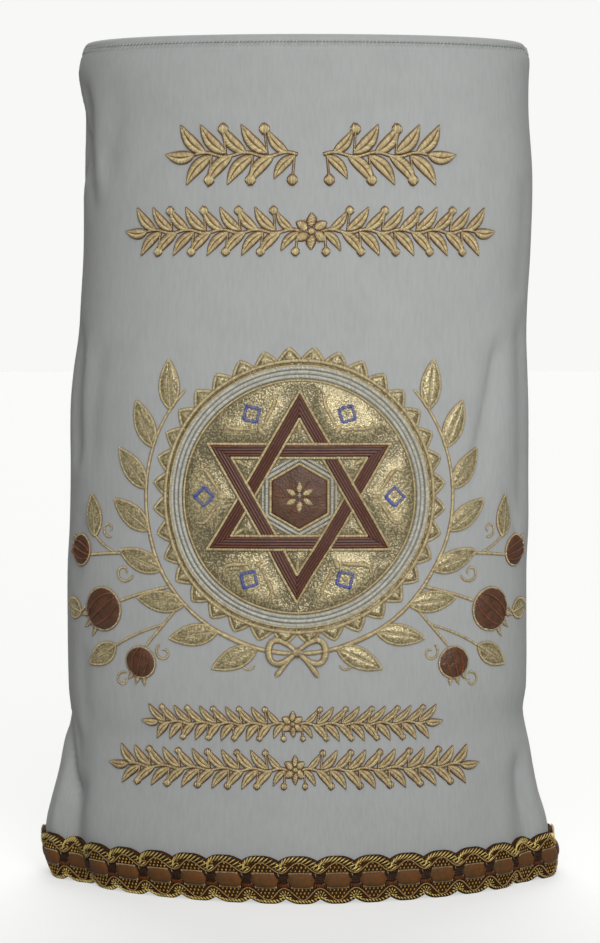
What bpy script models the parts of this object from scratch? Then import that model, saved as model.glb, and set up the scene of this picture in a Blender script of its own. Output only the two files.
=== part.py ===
"""Torah mantle: an oval velvet cover with a stiff top, a braid round its hem and padded work on its front.

Metres, +Z up. The origin is the middle of the hem, the front faces -Y and +X is the viewer's right.
Places on the cloth are (along, height): the distance round the cloth from the middle of the front,
measured at the waist and positive to the right, and the height above the hem.
"""
import math

import bmesh
import bpy
from mathutils import Vector

# Whole mantle
HEIGHT = 0.720
TOP_BOARD = 0.007
CLOTH = 0.0025
GAP = 0.0003
SEAM_GAP = 0.0003
WALL_TOP = HEIGHT - TOP_BOARD - GAP

# Waist section that distances round the cloth are measured on
WAIST_REACH = 0.200
WAIST_DEPTH = 0.100
WAIST_SQUARENESS = 2.3
ARC_STEPS = 640
TANGENT_STEP = 0.01
NORMAL_STEP = 0.002

# Grid of the two cloth panels: columns round both, and the heights of its rows up to the wall's top
COLUMNS = 64
ROWS = (
    (0.000, 0.012, 0.026, 0.041, 0.058, 0.078, 0.098, 0.120, 0.142, 0.166)
    + (0.205, 0.250, 0.295, 0.340, 0.380, 0.412, 0.440, 0.468, 0.498)
    + (0.540, 0.590, 0.632, 0.662, 0.684, 0.700, WALL_TOP)
)

# Each row is one section: height above the hem, reach to the left, reach to the right, half depth,
# and squareness, which is 2 for an ellipse and more for a fuller oval
SECTIONS = (
    (0.000, 0.2155, 0.2215, 0.1240, 1.76),
    (0.006, 0.2175, 0.2225, 0.1238, 1.77),
    (0.017, 0.2200, 0.2225, 0.1232, 1.79),
    (0.028, 0.2215, 0.2203, 0.1222, 1.82),
    (0.039, 0.2222, 0.2180, 0.1208, 1.86),
    (0.050, 0.2205, 0.2158, 0.1192, 1.9),
    (0.060, 0.2177, 0.2128, 0.1174, 1.94),
    (0.071, 0.2143, 0.2092, 0.1156, 1.98),
    (0.092, 0.2082, 0.2047, 0.1125, 2.05),
    (0.113, 0.2042, 0.2010, 0.1098, 2.1),
    (0.135, 0.2004, 0.1962, 0.1076, 2.15),
    (0.146, 0.2006, 0.1949, 0.1068, 2.2),
    (0.166, 0.2022, 0.1976, 0.1055, 2.25),
    (0.230, 0.2028, 0.1976, 0.1035, 2.3),
    (0.272, 0.2024, 0.1974, 0.1022, 2.3),
    (0.304, 0.2005, 0.1987, 0.1015, 2.3),
    (0.346, 0.1994, 0.1985, 0.1008, 2.3),
    (0.409, 0.1990, 0.1981, 0.1000, 2.3),
    (0.440, 0.1962, 0.1970, 0.0995, 2.3),
    (0.471, 0.1916, 0.1959, 0.0990, 2.3),
    (0.502, 0.1893, 0.1966, 0.0988, 2.3),
    (0.544, 0.1868, 0.1989, 0.0986, 2.3),
    (0.606, 0.1862, 0.2001, 0.0985, 2.3),
    (0.657, 0.1853, 0.1966, 0.0984, 2.3),
    (0.678, 0.1878, 0.1962, 0.0984, 2.3),
    (0.693, 0.1901, 0.1966, 0.0984, 2.25),
    (0.703, 0.1889, 0.1972, 0.0982, 2.2),
    (0.708, 0.1876, 0.1967, 0.0979, 2.17),
    (0.713, 0.1850, 0.1943, 0.0970, 2.15),
)

# Each row is one fold: where its low end and its high end lie, half width, and how far it stands out,
# which is negative for a trough. A fold whose low end is below the hem runs open through it.
FOLD_FADE = 0.035
FOLDS = (
    # low along, low height, high along, high height, half width, out
    (-0.219, 0.590, -0.217, 0.692, 0.0100, -0.0085),
    (-0.196, 0.580, -0.200, 0.690, 0.0140, 0.0020),
    (-0.214, 0.350, -0.221, 0.488, 0.0110, -0.0060),
    (-0.190, 0.345, -0.182, 0.475, 0.0130, -0.0030),
    (-0.1700, -0.080, -0.2110, 0.150, 0.0125, -0.0070),
    (-0.196, -0.080, -0.250, 0.150, 0.0120, 0.0030),
    (0.152, 0.330, 0.182, 0.480, 0.0130, -0.0032),
    (0.211, 0.300, 0.213, 0.500, 0.0130, -0.0035),
    (0.213, 0.285, 0.182, 0.352, 0.0110, -0.0022),
    (0.176, -0.080, 0.207, 0.125, 0.0115, -0.0055),
    (0.224, -0.080, 0.212, 0.130, 0.0110, 0.0030),
    (0.352, -0.080, 0.345, 0.190, 0.0200, -0.0050),
    (0.455, -0.080, 0.452, 0.240, 0.0240, -0.0045),
    (-0.405, -0.080, -0.398, 0.210, 0.0220, -0.0050),
    (-0.300, -0.080, -0.296, 0.150, 0.0180, -0.0040),
    (0.300, 0.380, 0.318, 0.600, 0.0200, -0.0035),
    (-0.330, 0.330, -0.345, 0.560, 0.0220, -0.0038),
)

# Stiff top: each row is a level of its edge, with how far it lies inside the widest outline
RIM_ROUND = (
    # share of thickness, inset
    (0.00, 0.0010),
    (0.20, 0.0000),
    (0.60, 0.0004),
    (0.86, 0.0016),
    (1.00, 0.0040),
)
RIM_REACH_LEFT = 0.1848
RIM_REACH_RIGHT = 0.1932
RIM_DEPTH = 0.0972
RIM_SQUARENESS = 2.15
RIM_COLUMNS = 64
STAVE_HOLE_RADIUS = 0.025
STAVE_HOLE_OFFSET = 0.095
STAVE_HOLE_SIDES = 32
CUTTER_DEPTH = TOP_BOARD * 4

# Braid round the hem
BRAID_HEIGHT = 0.0395
BRAID_PITCHES = 36
BRAID_STEPS = 4
BRAID_PHASE = 0.5
BRAID_CLOSEST = 0.0012
BRAID_SCALLOP = 0.0040
BRAID_FLAT = 0.2
BRAID_LIFT = 0.0007
BRAID_SECTION = (
    # share of height, thickness
    (0.00, 0.0018),
    (0.09, 0.0034),
    (0.28, 0.0024),
    (0.72, 0.0024),
    (0.91, 0.0034),
    (1.00, 0.0018),
)

# Work sewn on the front
PATCH = 0.0014
PATCH_LIFT = 0.0004
SECOND_LIFT = PATCH_LIFT + PATCH + 0.0004
MEDALLION_HEIGHT = 0.338
MEDALLION_RADIUS = 0.112
PETAL_LENGTH = 0.012
PETALS = 36
PETAL_STEPS = 4
PETAL_ROUNDNESS = 0.7
STAR_RADIUS = 0.088
STAR_BAND = 0.0115
CENTRE_RADIUS = 0.0290
LEAF_WIDTH = 0.0180
LEAF_LENGTH = 0.042
LEAF_POINTS = 6
LEAF_BELLY = 0.85
LEAF_FULLNESS = 0.8
WREATH_RADIUS = 0.131
WREATH_LEAVES = 8
WREATH_FIRST = math.radians(-75)
WREATH_STEP = math.radians(15.5)
WREATH_SPLAY = math.radians(40)
FRUIT_POINTS = 14
HALF_CROWN = math.radians(20)

# Crown of a fruit, in fruit radii: how far out along the crown's way, and to the side
CROWN = (
    (1.45, -0.36),
    (1.20, -0.16),
    (1.45, 0.00),
    (1.20, 0.16),
    (1.45, 0.36),
)

# Each row is a fruit on the right: place, radius and the way its crown points; the left has its mirror
FRUITS = (
    # along, height, radius, crown degrees
    (0.170, 0.240, 0.0185, -40),
    (0.134, 0.197, 0.0135, -75),
    (0.199, 0.288, 0.0135, 15),
)

# Each row is a side leaf on the right: place of its foot, the way it points, and its length
SIDE_LEAVES = (
    # along, height, degrees, length
    (0.157, 0.210, -32, 0.034),
    (0.196, 0.235, 12, 0.026),
    (0.181, 0.301, 82, 0.036),
)

SHARP_ANGLE = math.radians(40)
FINISHES = {
    # name: colour, roughness, metallic
    "velvet": ((0.78, 0.78, 0.75, 1), 0.9, 0.0),
    "braid": ((0.45, 0.30, 0.10, 1), 0.5, 0.3),
    "gold leather": ((0.55, 0.46, 0.25, 1), 0.4, 0.6),
    "brown leather": ((0.16, 0.04, 0.03, 1), 0.45, 0.0),
    "burgundy thread": ((0.12, 0.02, 0.02, 1), 0.6, 0.0),
}


def hermite(before, start, end, after, share):
    """Smooth value between two rows, each (place, value), of a table, from them and their two neighbours."""
    span = end[0] - start[0]
    slope_in = (end[1] - before[1]) / (end[0] - before[0]) * span
    slope_out = (after[1] - start[1]) / (after[0] - start[0]) * span
    square = share * share
    cube = square * share
    value = (2 * cube - 3 * square + 1) * start[1]
    value += (cube - 2 * square + share) * slope_in
    value += (3 * square - 2 * cube) * end[1]
    value += (cube - square) * slope_out
    return value


def section_at(height):
    """Left reach, right reach, half depth and squareness of the cloth at a height."""
    height = min(max(height, SECTIONS[0][0]), SECTIONS[-1][0])
    last = len(SECTIONS) - 2
    index = min(last, sum(1 for row in SECTIONS[1:-1] if row[0] <= height))
    start = SECTIONS[index]
    end = SECTIONS[index + 1]
    before = SECTIONS[index - 1] if index > 0 else start
    after = SECTIONS[index + 2] if index < last else end
    share = (height - start[0]) / (end[0] - start[0])
    rows = (before, start, end, after)
    return [hermite(*[(row[0], row[column]) for row in rows], share) for column in (1, 2, 3, 4)]


def oval(angle, squareness):
    """Point of the unit oval; angle 0 is the middle of the front and a right angle the right side."""
    power = 2 / squareness
    across = math.sin(angle)
    towards = math.cos(angle)
    return math.copysign(abs(across) ** power, across), -math.copysign(abs(towards) ** power, towards)


def arc_table():
    """Distance round the waist from the middle of the front, for even steps of angle to the back."""
    distances = [0.0]
    across, towards = oval(0.0, WAIST_SQUARENESS)
    for step in range(1, ARC_STEPS + 1):
        next_across, next_towards = oval(math.pi * step / ARC_STEPS, WAIST_SQUARENESS)
        run = math.hypot((next_across - across) * WAIST_REACH, (next_towards - towards) * WAIST_DEPTH)
        distances.append(distances[-1] + run)
        across, towards = next_across, next_towards
    return distances


ARC = arc_table()
HALF_GIRTH = ARC[-1]


def angle_at(along):
    """Angle of the oval at a distance round the cloth."""
    distance = min(abs(along), HALF_GIRTH)
    low = 0
    high = ARC_STEPS
    while high - low > 1:
        middle = (low + high) // 2
        if ARC[middle] <= distance:
            low = middle
        else:
            high = middle
    share = (distance - ARC[low]) / (ARC[high] - ARC[low])
    return math.copysign(math.pi * (low + share) / ARC_STEPS, along)


def smooth(value):
    """Soft step from 0 to 1."""
    value = min(max(value, 0.0), 1.0)
    return value * value * (3 - 2 * value)


def fold_out(along, height):
    """How far the folds push the cloth out at a place."""
    out = 0.0
    for low_along, low_height, high_along, high_height, half_width, depth in FOLDS:
        share = (height - low_height) / (high_height - low_height)
        if not 0.0 < share < 1.0:
            continue
        fade = smooth((height - low_height) / FOLD_FADE) * smooth((high_height - height) / FOLD_FADE)
        middle = low_along + (high_along - low_along) * share
        away = along - middle
        away -= 2 * HALF_GIRTH * round(away / (2 * HALF_GIRTH))
        out += depth * fade * math.exp(-(away / half_width) ** 2)
    return out


def cloth_point(along, height):
    """Point of the cloth's outer face."""
    left, right, depth, squareness = section_at(height)
    angle = angle_at(along)
    reach = (left + right) / 2
    middle = (right - left) / 2
    across, towards = oval(angle, squareness)
    level = min(max(height, 0.0), HEIGHT)
    ahead = oval(angle + TANGENT_STEP, squareness)
    behind = oval(angle - TANGENT_STEP, squareness)
    tangent = Vector(((ahead[0] - behind[0]) * reach, (ahead[1] - behind[1]) * depth, 0)).normalized()
    outward = Vector((tangent.y, -tangent.x, 0))
    point = Vector((middle + across * reach, towards * depth, level))
    return point + outward * fold_out(along, height)


def cloth_normal(along, height):
    """Outward direction of the cloth at a place."""
    sideways = cloth_point(along + NORMAL_STEP, height) - cloth_point(along - NORMAL_STEP, height)
    above = min(height + NORMAL_STEP, WALL_TOP)
    below = max(height - NORMAL_STEP, 0)
    upright = cloth_point(along, above) - cloth_point(along, below)
    return sideways.cross(upright).normalized()


def column_places():
    """Distances round the cloth of the panels' grid lines, from the left side through the front and back."""
    places = []
    for column in range(COLUMNS + 1):
        angle = 2 * math.pi * column / COLUMNS - math.pi
        step = round(abs(angle) / math.pi * ARC_STEPS)
        places.append(math.copysign(ARC[step], angle))
    return places


COLUMN_PLACES = column_places()
CLOTH_POINTS = [[cloth_point(along, height) for height in ROWS] for along in COLUMN_PLACES]
CLOTH_NORMALS = [[cloth_normal(along, height) for height in ROWS] for along in COLUMN_PLACES]


def cell_of(places, value):
    """Index of the grid line below a value, and the share of the way to the next."""
    index = min(len(places) - 2, sum(1 for place in places[1:-1] if place <= value))
    return index, (value - places[index]) / (places[index + 1] - places[index])


def on_cloth(along, height, lift):
    """Point at a lift above the panels' own facets."""
    column, across = cell_of(COLUMN_PLACES, along)
    row, up = cell_of(ROWS, height)
    corners = (
        (column, row, (1 - across) * (1 - up)),
        (column + 1, row, across * (1 - up)),
        (column, row + 1, (1 - across) * up),
        (column + 1, row + 1, across * up),
    )
    point = Vector()
    normal = Vector()
    for corner_column, corner_row, weight in corners:
        point += CLOTH_POINTS[corner_column][corner_row] * weight
        normal += CLOTH_NORMALS[corner_column][corner_row] * weight
    return point + normal.normalized() * lift


def finish(name):
    """Material of one of the finishes."""
    material = bpy.data.materials.get(name)
    if material is None:
        colour, roughness, metallic = FINISHES[name]
        material = bpy.data.materials.new(name)
        material.use_nodes = True
        shader = material.node_tree.nodes["Principled BSDF"]
        shader.inputs["Base Color"].default_value = colour
        shader.inputs["Roughness"].default_value = roughness
        shader.inputs["Metallic"].default_value = metallic
    return material


def add_object(name, mesh, parent, finish_name):
    """Put a finished mesh in the scene as one named sub-part."""
    part = bpy.data.objects.new(name, mesh)
    bpy.context.collection.objects.link(part)
    part.parent = parent
    mesh.materials.append(finish(finish_name))
    mesh.shade_smooth()
    mesh.set_sharp_from_angle(angle=SHARP_ANGLE)
    return part


def thicken(builder, inner_places):
    """Close a sheet of outward faces with a second sheet at the inner places, and join their edges."""
    outer_faces = builder.faces[:]
    edge_loops = [edge.link_loops[0] for edge in builder.edges if len(edge.link_loops) == 1]
    sides = [(loop.vert, loop.link_loop_next.vert) for loop in edge_loops]
    inner = {corner: builder.verts.new(place) for corner, place in inner_places.items()}
    for face in outer_faces:
        builder.faces.new([inner[corner] for corner in reversed(face.verts[:])])
    for start, end in sides:
        builder.faces.new((end, start, inner[start], inner[end]))


def make_panel(name, columns, parent):
    """One velvet panel: the cloth between two side seams, from the hem to the top."""
    first, last = columns
    builder = bmesh.new()
    grid = []
    inner_places = {}
    for column in range(first, last + 1):
        along = COLUMN_PLACES[column % COLUMNS]
        if column == first:
            along += SEAM_GAP / 2
        if column == last:
            along -= SEAM_GAP / 2
        line = []
        for height in ROWS:
            point = cloth_point(along, height)
            inward = cloth_normal(along, height) * CLOTH
            inward.z = 0
            corner = builder.verts.new(point)
            inner_places[corner] = point - inward
            line.append(corner)
        grid.append(line)
    for left, right in zip(grid, grid[1:]):
        for row in range(len(ROWS) - 1):
            builder.faces.new((left[row], right[row], right[row + 1], left[row + 1]))
    thicken(builder, inner_places)
    mesh = bpy.data.meshes.new(name)
    builder.to_mesh(mesh)
    builder.free()
    add_object(name, mesh, parent, "velvet")


def make_cutter(name, along_x, parent):
    """Plain round cutter for one hole in the stiff top."""
    builder = bmesh.new()
    bmesh.ops.create_cone(
        builder,
        cap_ends=True,
        segments=STAVE_HOLE_SIDES,
        radius1=STAVE_HOLE_RADIUS,
        radius2=STAVE_HOLE_RADIUS,
        depth=CUTTER_DEPTH,
    )
    mesh = bpy.data.meshes.new(name)
    builder.to_mesh(mesh)
    builder.free()
    cutter = bpy.data.objects.new(name, mesh)
    bpy.context.collection.objects.link(cutter)
    cutter.parent = parent
    cutter.location = (along_x, 0, HEIGHT - TOP_BOARD / 2)
    cutter.hide_render = True
    cutter.display_type = "WIRE"
    return cutter


def make_top(parent):
    """Stiff oval top with a soft rounded rim and two round holes for the scroll's staves."""
    builder = bmesh.new()
    middle = (RIM_REACH_RIGHT - RIM_REACH_LEFT) / 2
    reach = (RIM_REACH_RIGHT + RIM_REACH_LEFT) / 2
    loops = []
    for share, inset in RIM_ROUND:
        loop = []
        for column in range(RIM_COLUMNS):
            across, towards = oval(2 * math.pi * column / RIM_COLUMNS, RIM_SQUARENESS)
            x = middle + across * (reach - inset)
            y = towards * (RIM_DEPTH - inset)
            loop.append(builder.verts.new((x, y, HEIGHT - TOP_BOARD * (1 - share))))
        loops.append(loop)
    for lower, upper in zip(loops, loops[1:]):
        for column in range(RIM_COLUMNS):
            following = (column + 1) % RIM_COLUMNS
            builder.faces.new((lower[column], lower[following], upper[following], upper[column]))
    builder.faces.new(reversed(loops[0]))
    builder.faces.new(loops[-1])
    mesh = bpy.data.meshes.new("top")
    builder.to_mesh(mesh)
    builder.free()
    top = add_object("top", mesh, parent, "velvet")
    for side, offset in (("left", middle - STAVE_HOLE_OFFSET), ("right", middle + STAVE_HOLE_OFFSET)):
        hole = top.modifiers.new("stave hole " + side, "BOOLEAN")
        hole.operation = "DIFFERENCE"
        hole.object = make_cutter("hole_" + side, offset, parent)


def scallop(share):
    """Depth of a scalloped edge across one pitch: 0 over its flat middle, 1 at its two ends."""
    away = abs(2 * share - 1)
    return (max(0.0, away - BRAID_FLAT) / (1 - BRAID_FLAT)) ** 2


def hem_lengths():
    """True length of the cloth round the middle of the braid at every grid line, from the middle of the front."""
    row, up = cell_of(ROWS, BRAID_HEIGHT / 2)
    line = [points[row].lerp(points[row + 1], up) for points in CLOTH_POINTS]
    travelled = [0.0]
    for here, following in zip(line, line[1:]):
        travelled.append(travelled[-1] + (following - here).length)
    column, across = cell_of(COLUMN_PLACES, 0.0)
    middle = travelled[column] + (travelled[column + 1] - travelled[column]) * across
    return [length - middle for length in travelled]


def way_round(lengths, along):
    """True length round the hem at a distance round the cloth."""
    column, across = cell_of(COLUMN_PLACES, along)
    return lengths[column] + (lengths[column + 1] - lengths[column]) * across


def along_at(lengths, way):
    """Distance round the cloth at a true length round the hem."""
    column, across = cell_of(lengths, way)
    return COLUMN_PLACES[column] + (COLUMN_PLACES[column + 1] - COLUMN_PLACES[column]) * across


def braid_columns(lengths, pitch):
    """Distances round the cloth of the braid's columns: its own even steps and the cloth's grid lines."""
    own = [along_at(lengths, lengths[0] + pitch * step / BRAID_STEPS) for step in range(BRAID_PITCHES * BRAID_STEPS)]
    lines = COLUMN_PLACES[:-1]
    own = [step for step in own if all(abs(place - step) > BRAID_CLOSEST for place in lines)]
    return sorted(own + lines)


def make_braid(parent):
    """Braid round the hem: raised cords along both scalloped edges over a flat woven ground."""
    builder = bmesh.new()
    lengths = hem_lengths()
    pitch = (lengths[-1] - lengths[0]) / BRAID_PITCHES
    places = braid_columns(lengths, pitch)
    rows = [row for row in ROWS if BRAID_SCALLOP < row < BRAID_HEIGHT - BRAID_SCALLOP]
    loops = []
    for along in places:
        edge = scallop((way_round(lengths, along) / pitch + BRAID_PHASE) % 1) * BRAID_SCALLOP
        low = edge
        high = BRAID_HEIGHT - edge
        backing = [low] + rows + [high]
        loop = [on_cloth(along, low + (high - low) * share, BRAID_LIFT + out) for share, out in BRAID_SECTION]
        loop += [on_cloth(along, height, BRAID_LIFT) for height in reversed(backing)]
        for point in loop:
            point.z = max(point.z, 0.0)
        loops.append([builder.verts.new(point) for point in loop])
    points = len(loops[0])
    for here, following in zip(loops, loops[1:] + loops[:1]):
        for index in range(points):
            after = (index + 1) % points
            builder.faces.new((here[index], following[index], following[after], here[after]))
    mesh = bpy.data.meshes.new("hem_braid")
    builder.to_mesh(mesh)
    builder.free()
    add_object("hem_braid", mesh, parent, "braid")


def sew_on(name, outlines, lift, parent, finish_name):
    """Flat piece cut to its outlines, laid on the cloth at a lift; inner outlines are openings."""
    builder = bmesh.new()
    edges = []
    for outline in outlines:
        corners = [builder.verts.new((along, height, 0)) for along, height in outline]
        for index, corner in enumerate(corners):
            edges.append(builder.edges.new((corner, corners[(index + 1) % len(corners)])))
    bmesh.ops.triangle_fill(builder, use_beauty=True, edges=edges)
    lines = [((along, 0, 0), (1, 0, 0)) for along in COLUMN_PLACES]
    lines += [((0, height, 0), (0, 1, 0)) for height in ROWS]
    for place, direction in lines:
        everything = builder.verts[:] + builder.edges[:] + builder.faces[:]
        bmesh.ops.bisect_plane(builder, geom=everything, plane_co=place, plane_no=direction, dist=1e-6)
    for face in builder.faces:
        if face.normal.z < 0:
            face.normal_flip()
    inner_places = {}
    for corner in builder.verts[:]:
        along, height = corner.co.x, corner.co.y
        inner_places[corner] = on_cloth(along, height, lift)
        corner.co = on_cloth(along, height, lift + PATCH)
    thicken(builder, inner_places)
    mesh = bpy.data.meshes.new(name)
    builder.to_mesh(mesh)
    builder.free()
    add_object(name, mesh, parent, finish_name)


def polygon(radius, sides, turn, centre):
    """Corners of a regular polygon."""
    corners = []
    for side in range(sides):
        angle = turn + 2 * math.pi * side / sides
        corners.append((centre[0] + radius * math.cos(angle), centre[1] + radius * math.sin(angle)))
    return corners


def petal_outline():
    """Round field edged with small pointed petals."""
    corners = []
    for step in range(PETALS * PETAL_STEPS):
        angle = 2 * math.pi * step / (PETALS * PETAL_STEPS)
        rise = (1 - abs(2 * (step % PETAL_STEPS) / PETAL_STEPS - 1)) ** PETAL_ROUNDNESS
        radius = MEDALLION_RADIUS + PETAL_LENGTH * rise
        corners.append((radius * math.sin(angle), MEDALLION_HEIGHT + radius * math.cos(angle)))
    return corners


def star_outlines():
    """Six-pointed star of interlaced bands: its outer edge, its six point openings and its middle opening."""
    centre = (0, MEDALLION_HEIGHT)
    outer = []
    for tip, notch in zip(
        polygon(STAR_RADIUS, 6, math.pi / 2, centre),
        polygon(STAR_RADIUS / math.sqrt(3), 6, math.pi / 2 + math.pi / 6, centre),
    ):
        outer += [tip, notch]
    outlines = [outer]
    opening_height = STAR_RADIUS / 2 - 2 * STAR_BAND
    point_centre = STAR_RADIUS / 2 + opening_height / 3
    for point in range(6):
        angle = math.pi / 2 + point * math.pi / 3
        middle = (point_centre * math.cos(angle), MEDALLION_HEIGHT + point_centre * math.sin(angle))
        outlines.append(polygon(opening_height * 2 / 3, 3, angle, middle))
    middle_radius = (STAR_RADIUS / 2 - STAR_BAND) * 2 / math.sqrt(3)
    outlines.append(polygon(middle_radius, 6, math.pi / 2 + math.pi / 6, centre))
    return outlines


def leaf_outline(foot, angle, length, width):
    """Pointed leaf from its foot along a direction."""
    sides = [[], []]
    for point in range(1, LEAF_POINTS):
        share = point / LEAF_POINTS
        half = width / 2 * math.sin(math.pi * share ** LEAF_BELLY) ** LEAF_FULLNESS
        for index, sign in enumerate((1, -1)):
            along = share * length
            sides[index].append(
                (
                    foot[0] + along * math.cos(angle) - sign * half * math.sin(angle),
                    foot[1] + along * math.sin(angle) + sign * half * math.cos(angle),
                )
            )
    tip = (foot[0] + length * math.cos(angle), foot[1] + length * math.sin(angle))
    return [foot] + sides[1] + [tip] + sides[0][::-1]


def fruit_outline(centre, radius, angle):
    """Round fruit with a three-pointed crown."""
    corners = []
    for point in range(FRUIT_POINTS + 1):
        turn = angle + HALF_CROWN + (2 * math.pi - 2 * HALF_CROWN) * point / FRUIT_POINTS
        corners.append((centre[0] + radius * math.cos(turn), centre[1] + radius * math.sin(turn)))
    for out, side in CROWN:
        x = centre[0] + radius * (out * math.cos(angle) - side * math.sin(angle))
        y = centre[1] + radius * (out * math.sin(angle) + side * math.cos(angle))
        corners.append((x, y))
    return corners


def mirrored(outline, sign):
    """The outline itself on the right, or its mirror on the left."""
    return [(along * sign, height) for along, height in outline]


def make_medallion(parent):
    """Round field, star and centre of the front's padded work."""
    sew_on("medallion_field", [petal_outline()], PATCH_LIFT, parent, "gold leather")
    sew_on("star_band", star_outlines(), SECOND_LIFT, parent, "burgundy thread")
    centre = polygon(CENTRE_RADIUS, 6, math.pi / 2 + math.pi / 6, (0, MEDALLION_HEIGHT))
    sew_on("centre_patch", [centre], SECOND_LIFT, parent, "brown leather")


def make_branches(parent):
    """Wreath leaves, side leaves and fruits, right and left."""
    for side, sign in (("right", 1), ("left", -1)):
        for leaf in range(WREATH_LEAVES):
            turn = WREATH_FIRST + leaf * WREATH_STEP
            foot = (WREATH_RADIUS * math.cos(turn), MEDALLION_HEIGHT + WREATH_RADIUS * math.sin(turn))
            outline = leaf_outline(foot, turn + math.pi / 2 - WREATH_SPLAY, LEAF_LENGTH, LEAF_WIDTH)
            name = "wreath_leaf_%s_%d" % (side, leaf + 1)
            sew_on(name, [mirrored(outline, sign)], PATCH_LIFT, parent, "gold leather")
        for index, (along, height, degrees, length) in enumerate(SIDE_LEAVES):
            outline = leaf_outline((along, height), math.radians(degrees), length, LEAF_WIDTH)
            name = "side_leaf_%s_%d" % (side, index + 1)
            sew_on(name, [mirrored(outline, sign)], PATCH_LIFT, parent, "gold leather")
        for index, (along, height, radius, degrees) in enumerate(FRUITS):
            outline = fruit_outline((along, height), radius, math.radians(degrees))
            name = "fruit_%s_%d" % (side, index + 1)
            sew_on(name, [mirrored(outline, sign)], PATCH_LIFT, parent, "brown leather")


def main():
    for thing in list(bpy.data.objects):
        bpy.data.objects.remove(thing, do_unlink=True)
    mantle = bpy.data.objects.new("mantle", None)
    bpy.context.collection.objects.link(mantle)
    quarter = COLUMNS // 4
    make_panel("front_panel", (quarter, 3 * quarter), mantle)
    make_panel("back_panel", (3 * quarter, 5 * quarter), mantle)
    make_top(mantle)
    make_braid(mantle)
    make_medallion(mantle)
    make_branches(mantle)


main()
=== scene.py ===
"""Torah mantle: an oval velvet cover with a stiff top, padded gold work on its front and a braided hem.

Run as a script it dresses the packed frame. Metres, +Z up, front at -Y, +X to the viewer's right.
Places on the cloth are (along, height): the distance round the cloth from the middle of the front,
measured at the waist and positive to the right, and the height above the hem.
"""
import math

import bmesh
import bpy
import numpy as np
from bpy.props import FloatProperty, FloatVectorProperty, IntProperty, PointerProperty
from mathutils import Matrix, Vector


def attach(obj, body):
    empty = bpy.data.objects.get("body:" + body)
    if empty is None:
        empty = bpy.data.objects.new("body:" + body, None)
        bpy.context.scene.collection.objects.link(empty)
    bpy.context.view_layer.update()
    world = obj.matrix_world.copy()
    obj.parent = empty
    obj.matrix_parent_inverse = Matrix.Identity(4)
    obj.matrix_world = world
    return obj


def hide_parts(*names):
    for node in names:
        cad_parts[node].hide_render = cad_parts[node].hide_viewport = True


bl_info = {
    "name": "Torah Mantle",
    "version": (1, 0, 0),
    "blender": (4, 5, 0),
    "location": "3D View > Sidebar > Mantle",
    "description": "Velvet scroll mantle with padded gold work and a braided hem",
    "category": "Add Mesh",
}

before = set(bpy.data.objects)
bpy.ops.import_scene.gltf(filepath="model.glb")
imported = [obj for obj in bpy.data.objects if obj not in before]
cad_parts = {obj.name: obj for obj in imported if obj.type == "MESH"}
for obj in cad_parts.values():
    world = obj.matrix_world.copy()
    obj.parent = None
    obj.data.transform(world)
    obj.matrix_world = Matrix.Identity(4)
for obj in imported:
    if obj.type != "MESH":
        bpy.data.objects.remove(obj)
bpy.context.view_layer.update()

# Whole mantle, as its solids have it
HEIGHT = 0.720
TOP_BOARD = 0.007
WALL_TOP = HEIGHT - TOP_BOARD - 0.0003
WAIST_REACH = 0.200
WAIST_DEPTH = 0.100
WAIST_SQUARENESS = 2.3
ARC_STEPS = 640

# Each row is one section: height above the hem, reach to the left, reach to the right, half depth,
# and squareness, which is 2 for an ellipse and more for a fuller oval
SECTIONS = (
    (0.000, 0.2155, 0.2215, 0.1240, 1.76),
    (0.006, 0.2175, 0.2225, 0.1238, 1.77),
    (0.017, 0.2200, 0.2225, 0.1232, 1.79),
    (0.028, 0.2215, 0.2203, 0.1222, 1.82),
    (0.039, 0.2222, 0.2180, 0.1208, 1.86),
    (0.050, 0.2205, 0.2158, 0.1192, 1.9),
    (0.060, 0.2177, 0.2128, 0.1174, 1.94),
    (0.071, 0.2143, 0.2092, 0.1156, 1.98),
    (0.092, 0.2082, 0.2047, 0.1125, 2.05),
    (0.113, 0.2042, 0.2010, 0.1098, 2.1),
    (0.135, 0.2004, 0.1962, 0.1076, 2.15),
    (0.146, 0.2006, 0.1949, 0.1068, 2.2),
    (0.166, 0.2022, 0.1976, 0.1055, 2.25),
    (0.230, 0.2028, 0.1976, 0.1035, 2.3),
    (0.272, 0.2024, 0.1974, 0.1022, 2.3),
    (0.304, 0.2005, 0.1987, 0.1015, 2.3),
    (0.346, 0.1994, 0.1985, 0.1008, 2.3),
    (0.409, 0.1990, 0.1981, 0.1000, 2.3),
    (0.440, 0.1962, 0.1970, 0.0995, 2.3),
    (0.471, 0.1916, 0.1959, 0.0990, 2.3),
    (0.502, 0.1893, 0.1966, 0.0988, 2.3),
    (0.544, 0.1868, 0.1989, 0.0986, 2.3),
    (0.606, 0.1862, 0.2001, 0.0985, 2.3),
    (0.657, 0.1853, 0.1966, 0.0984, 2.3),
    (0.678, 0.1878, 0.1962, 0.0984, 2.3),
    (0.693, 0.1901, 0.1966, 0.0984, 2.25),
    (0.703, 0.1889, 0.1972, 0.0982, 2.2),
    (0.708, 0.1876, 0.1967, 0.0979, 2.17),
    (0.713, 0.1850, 0.1943, 0.0970, 2.15),
)

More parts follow.
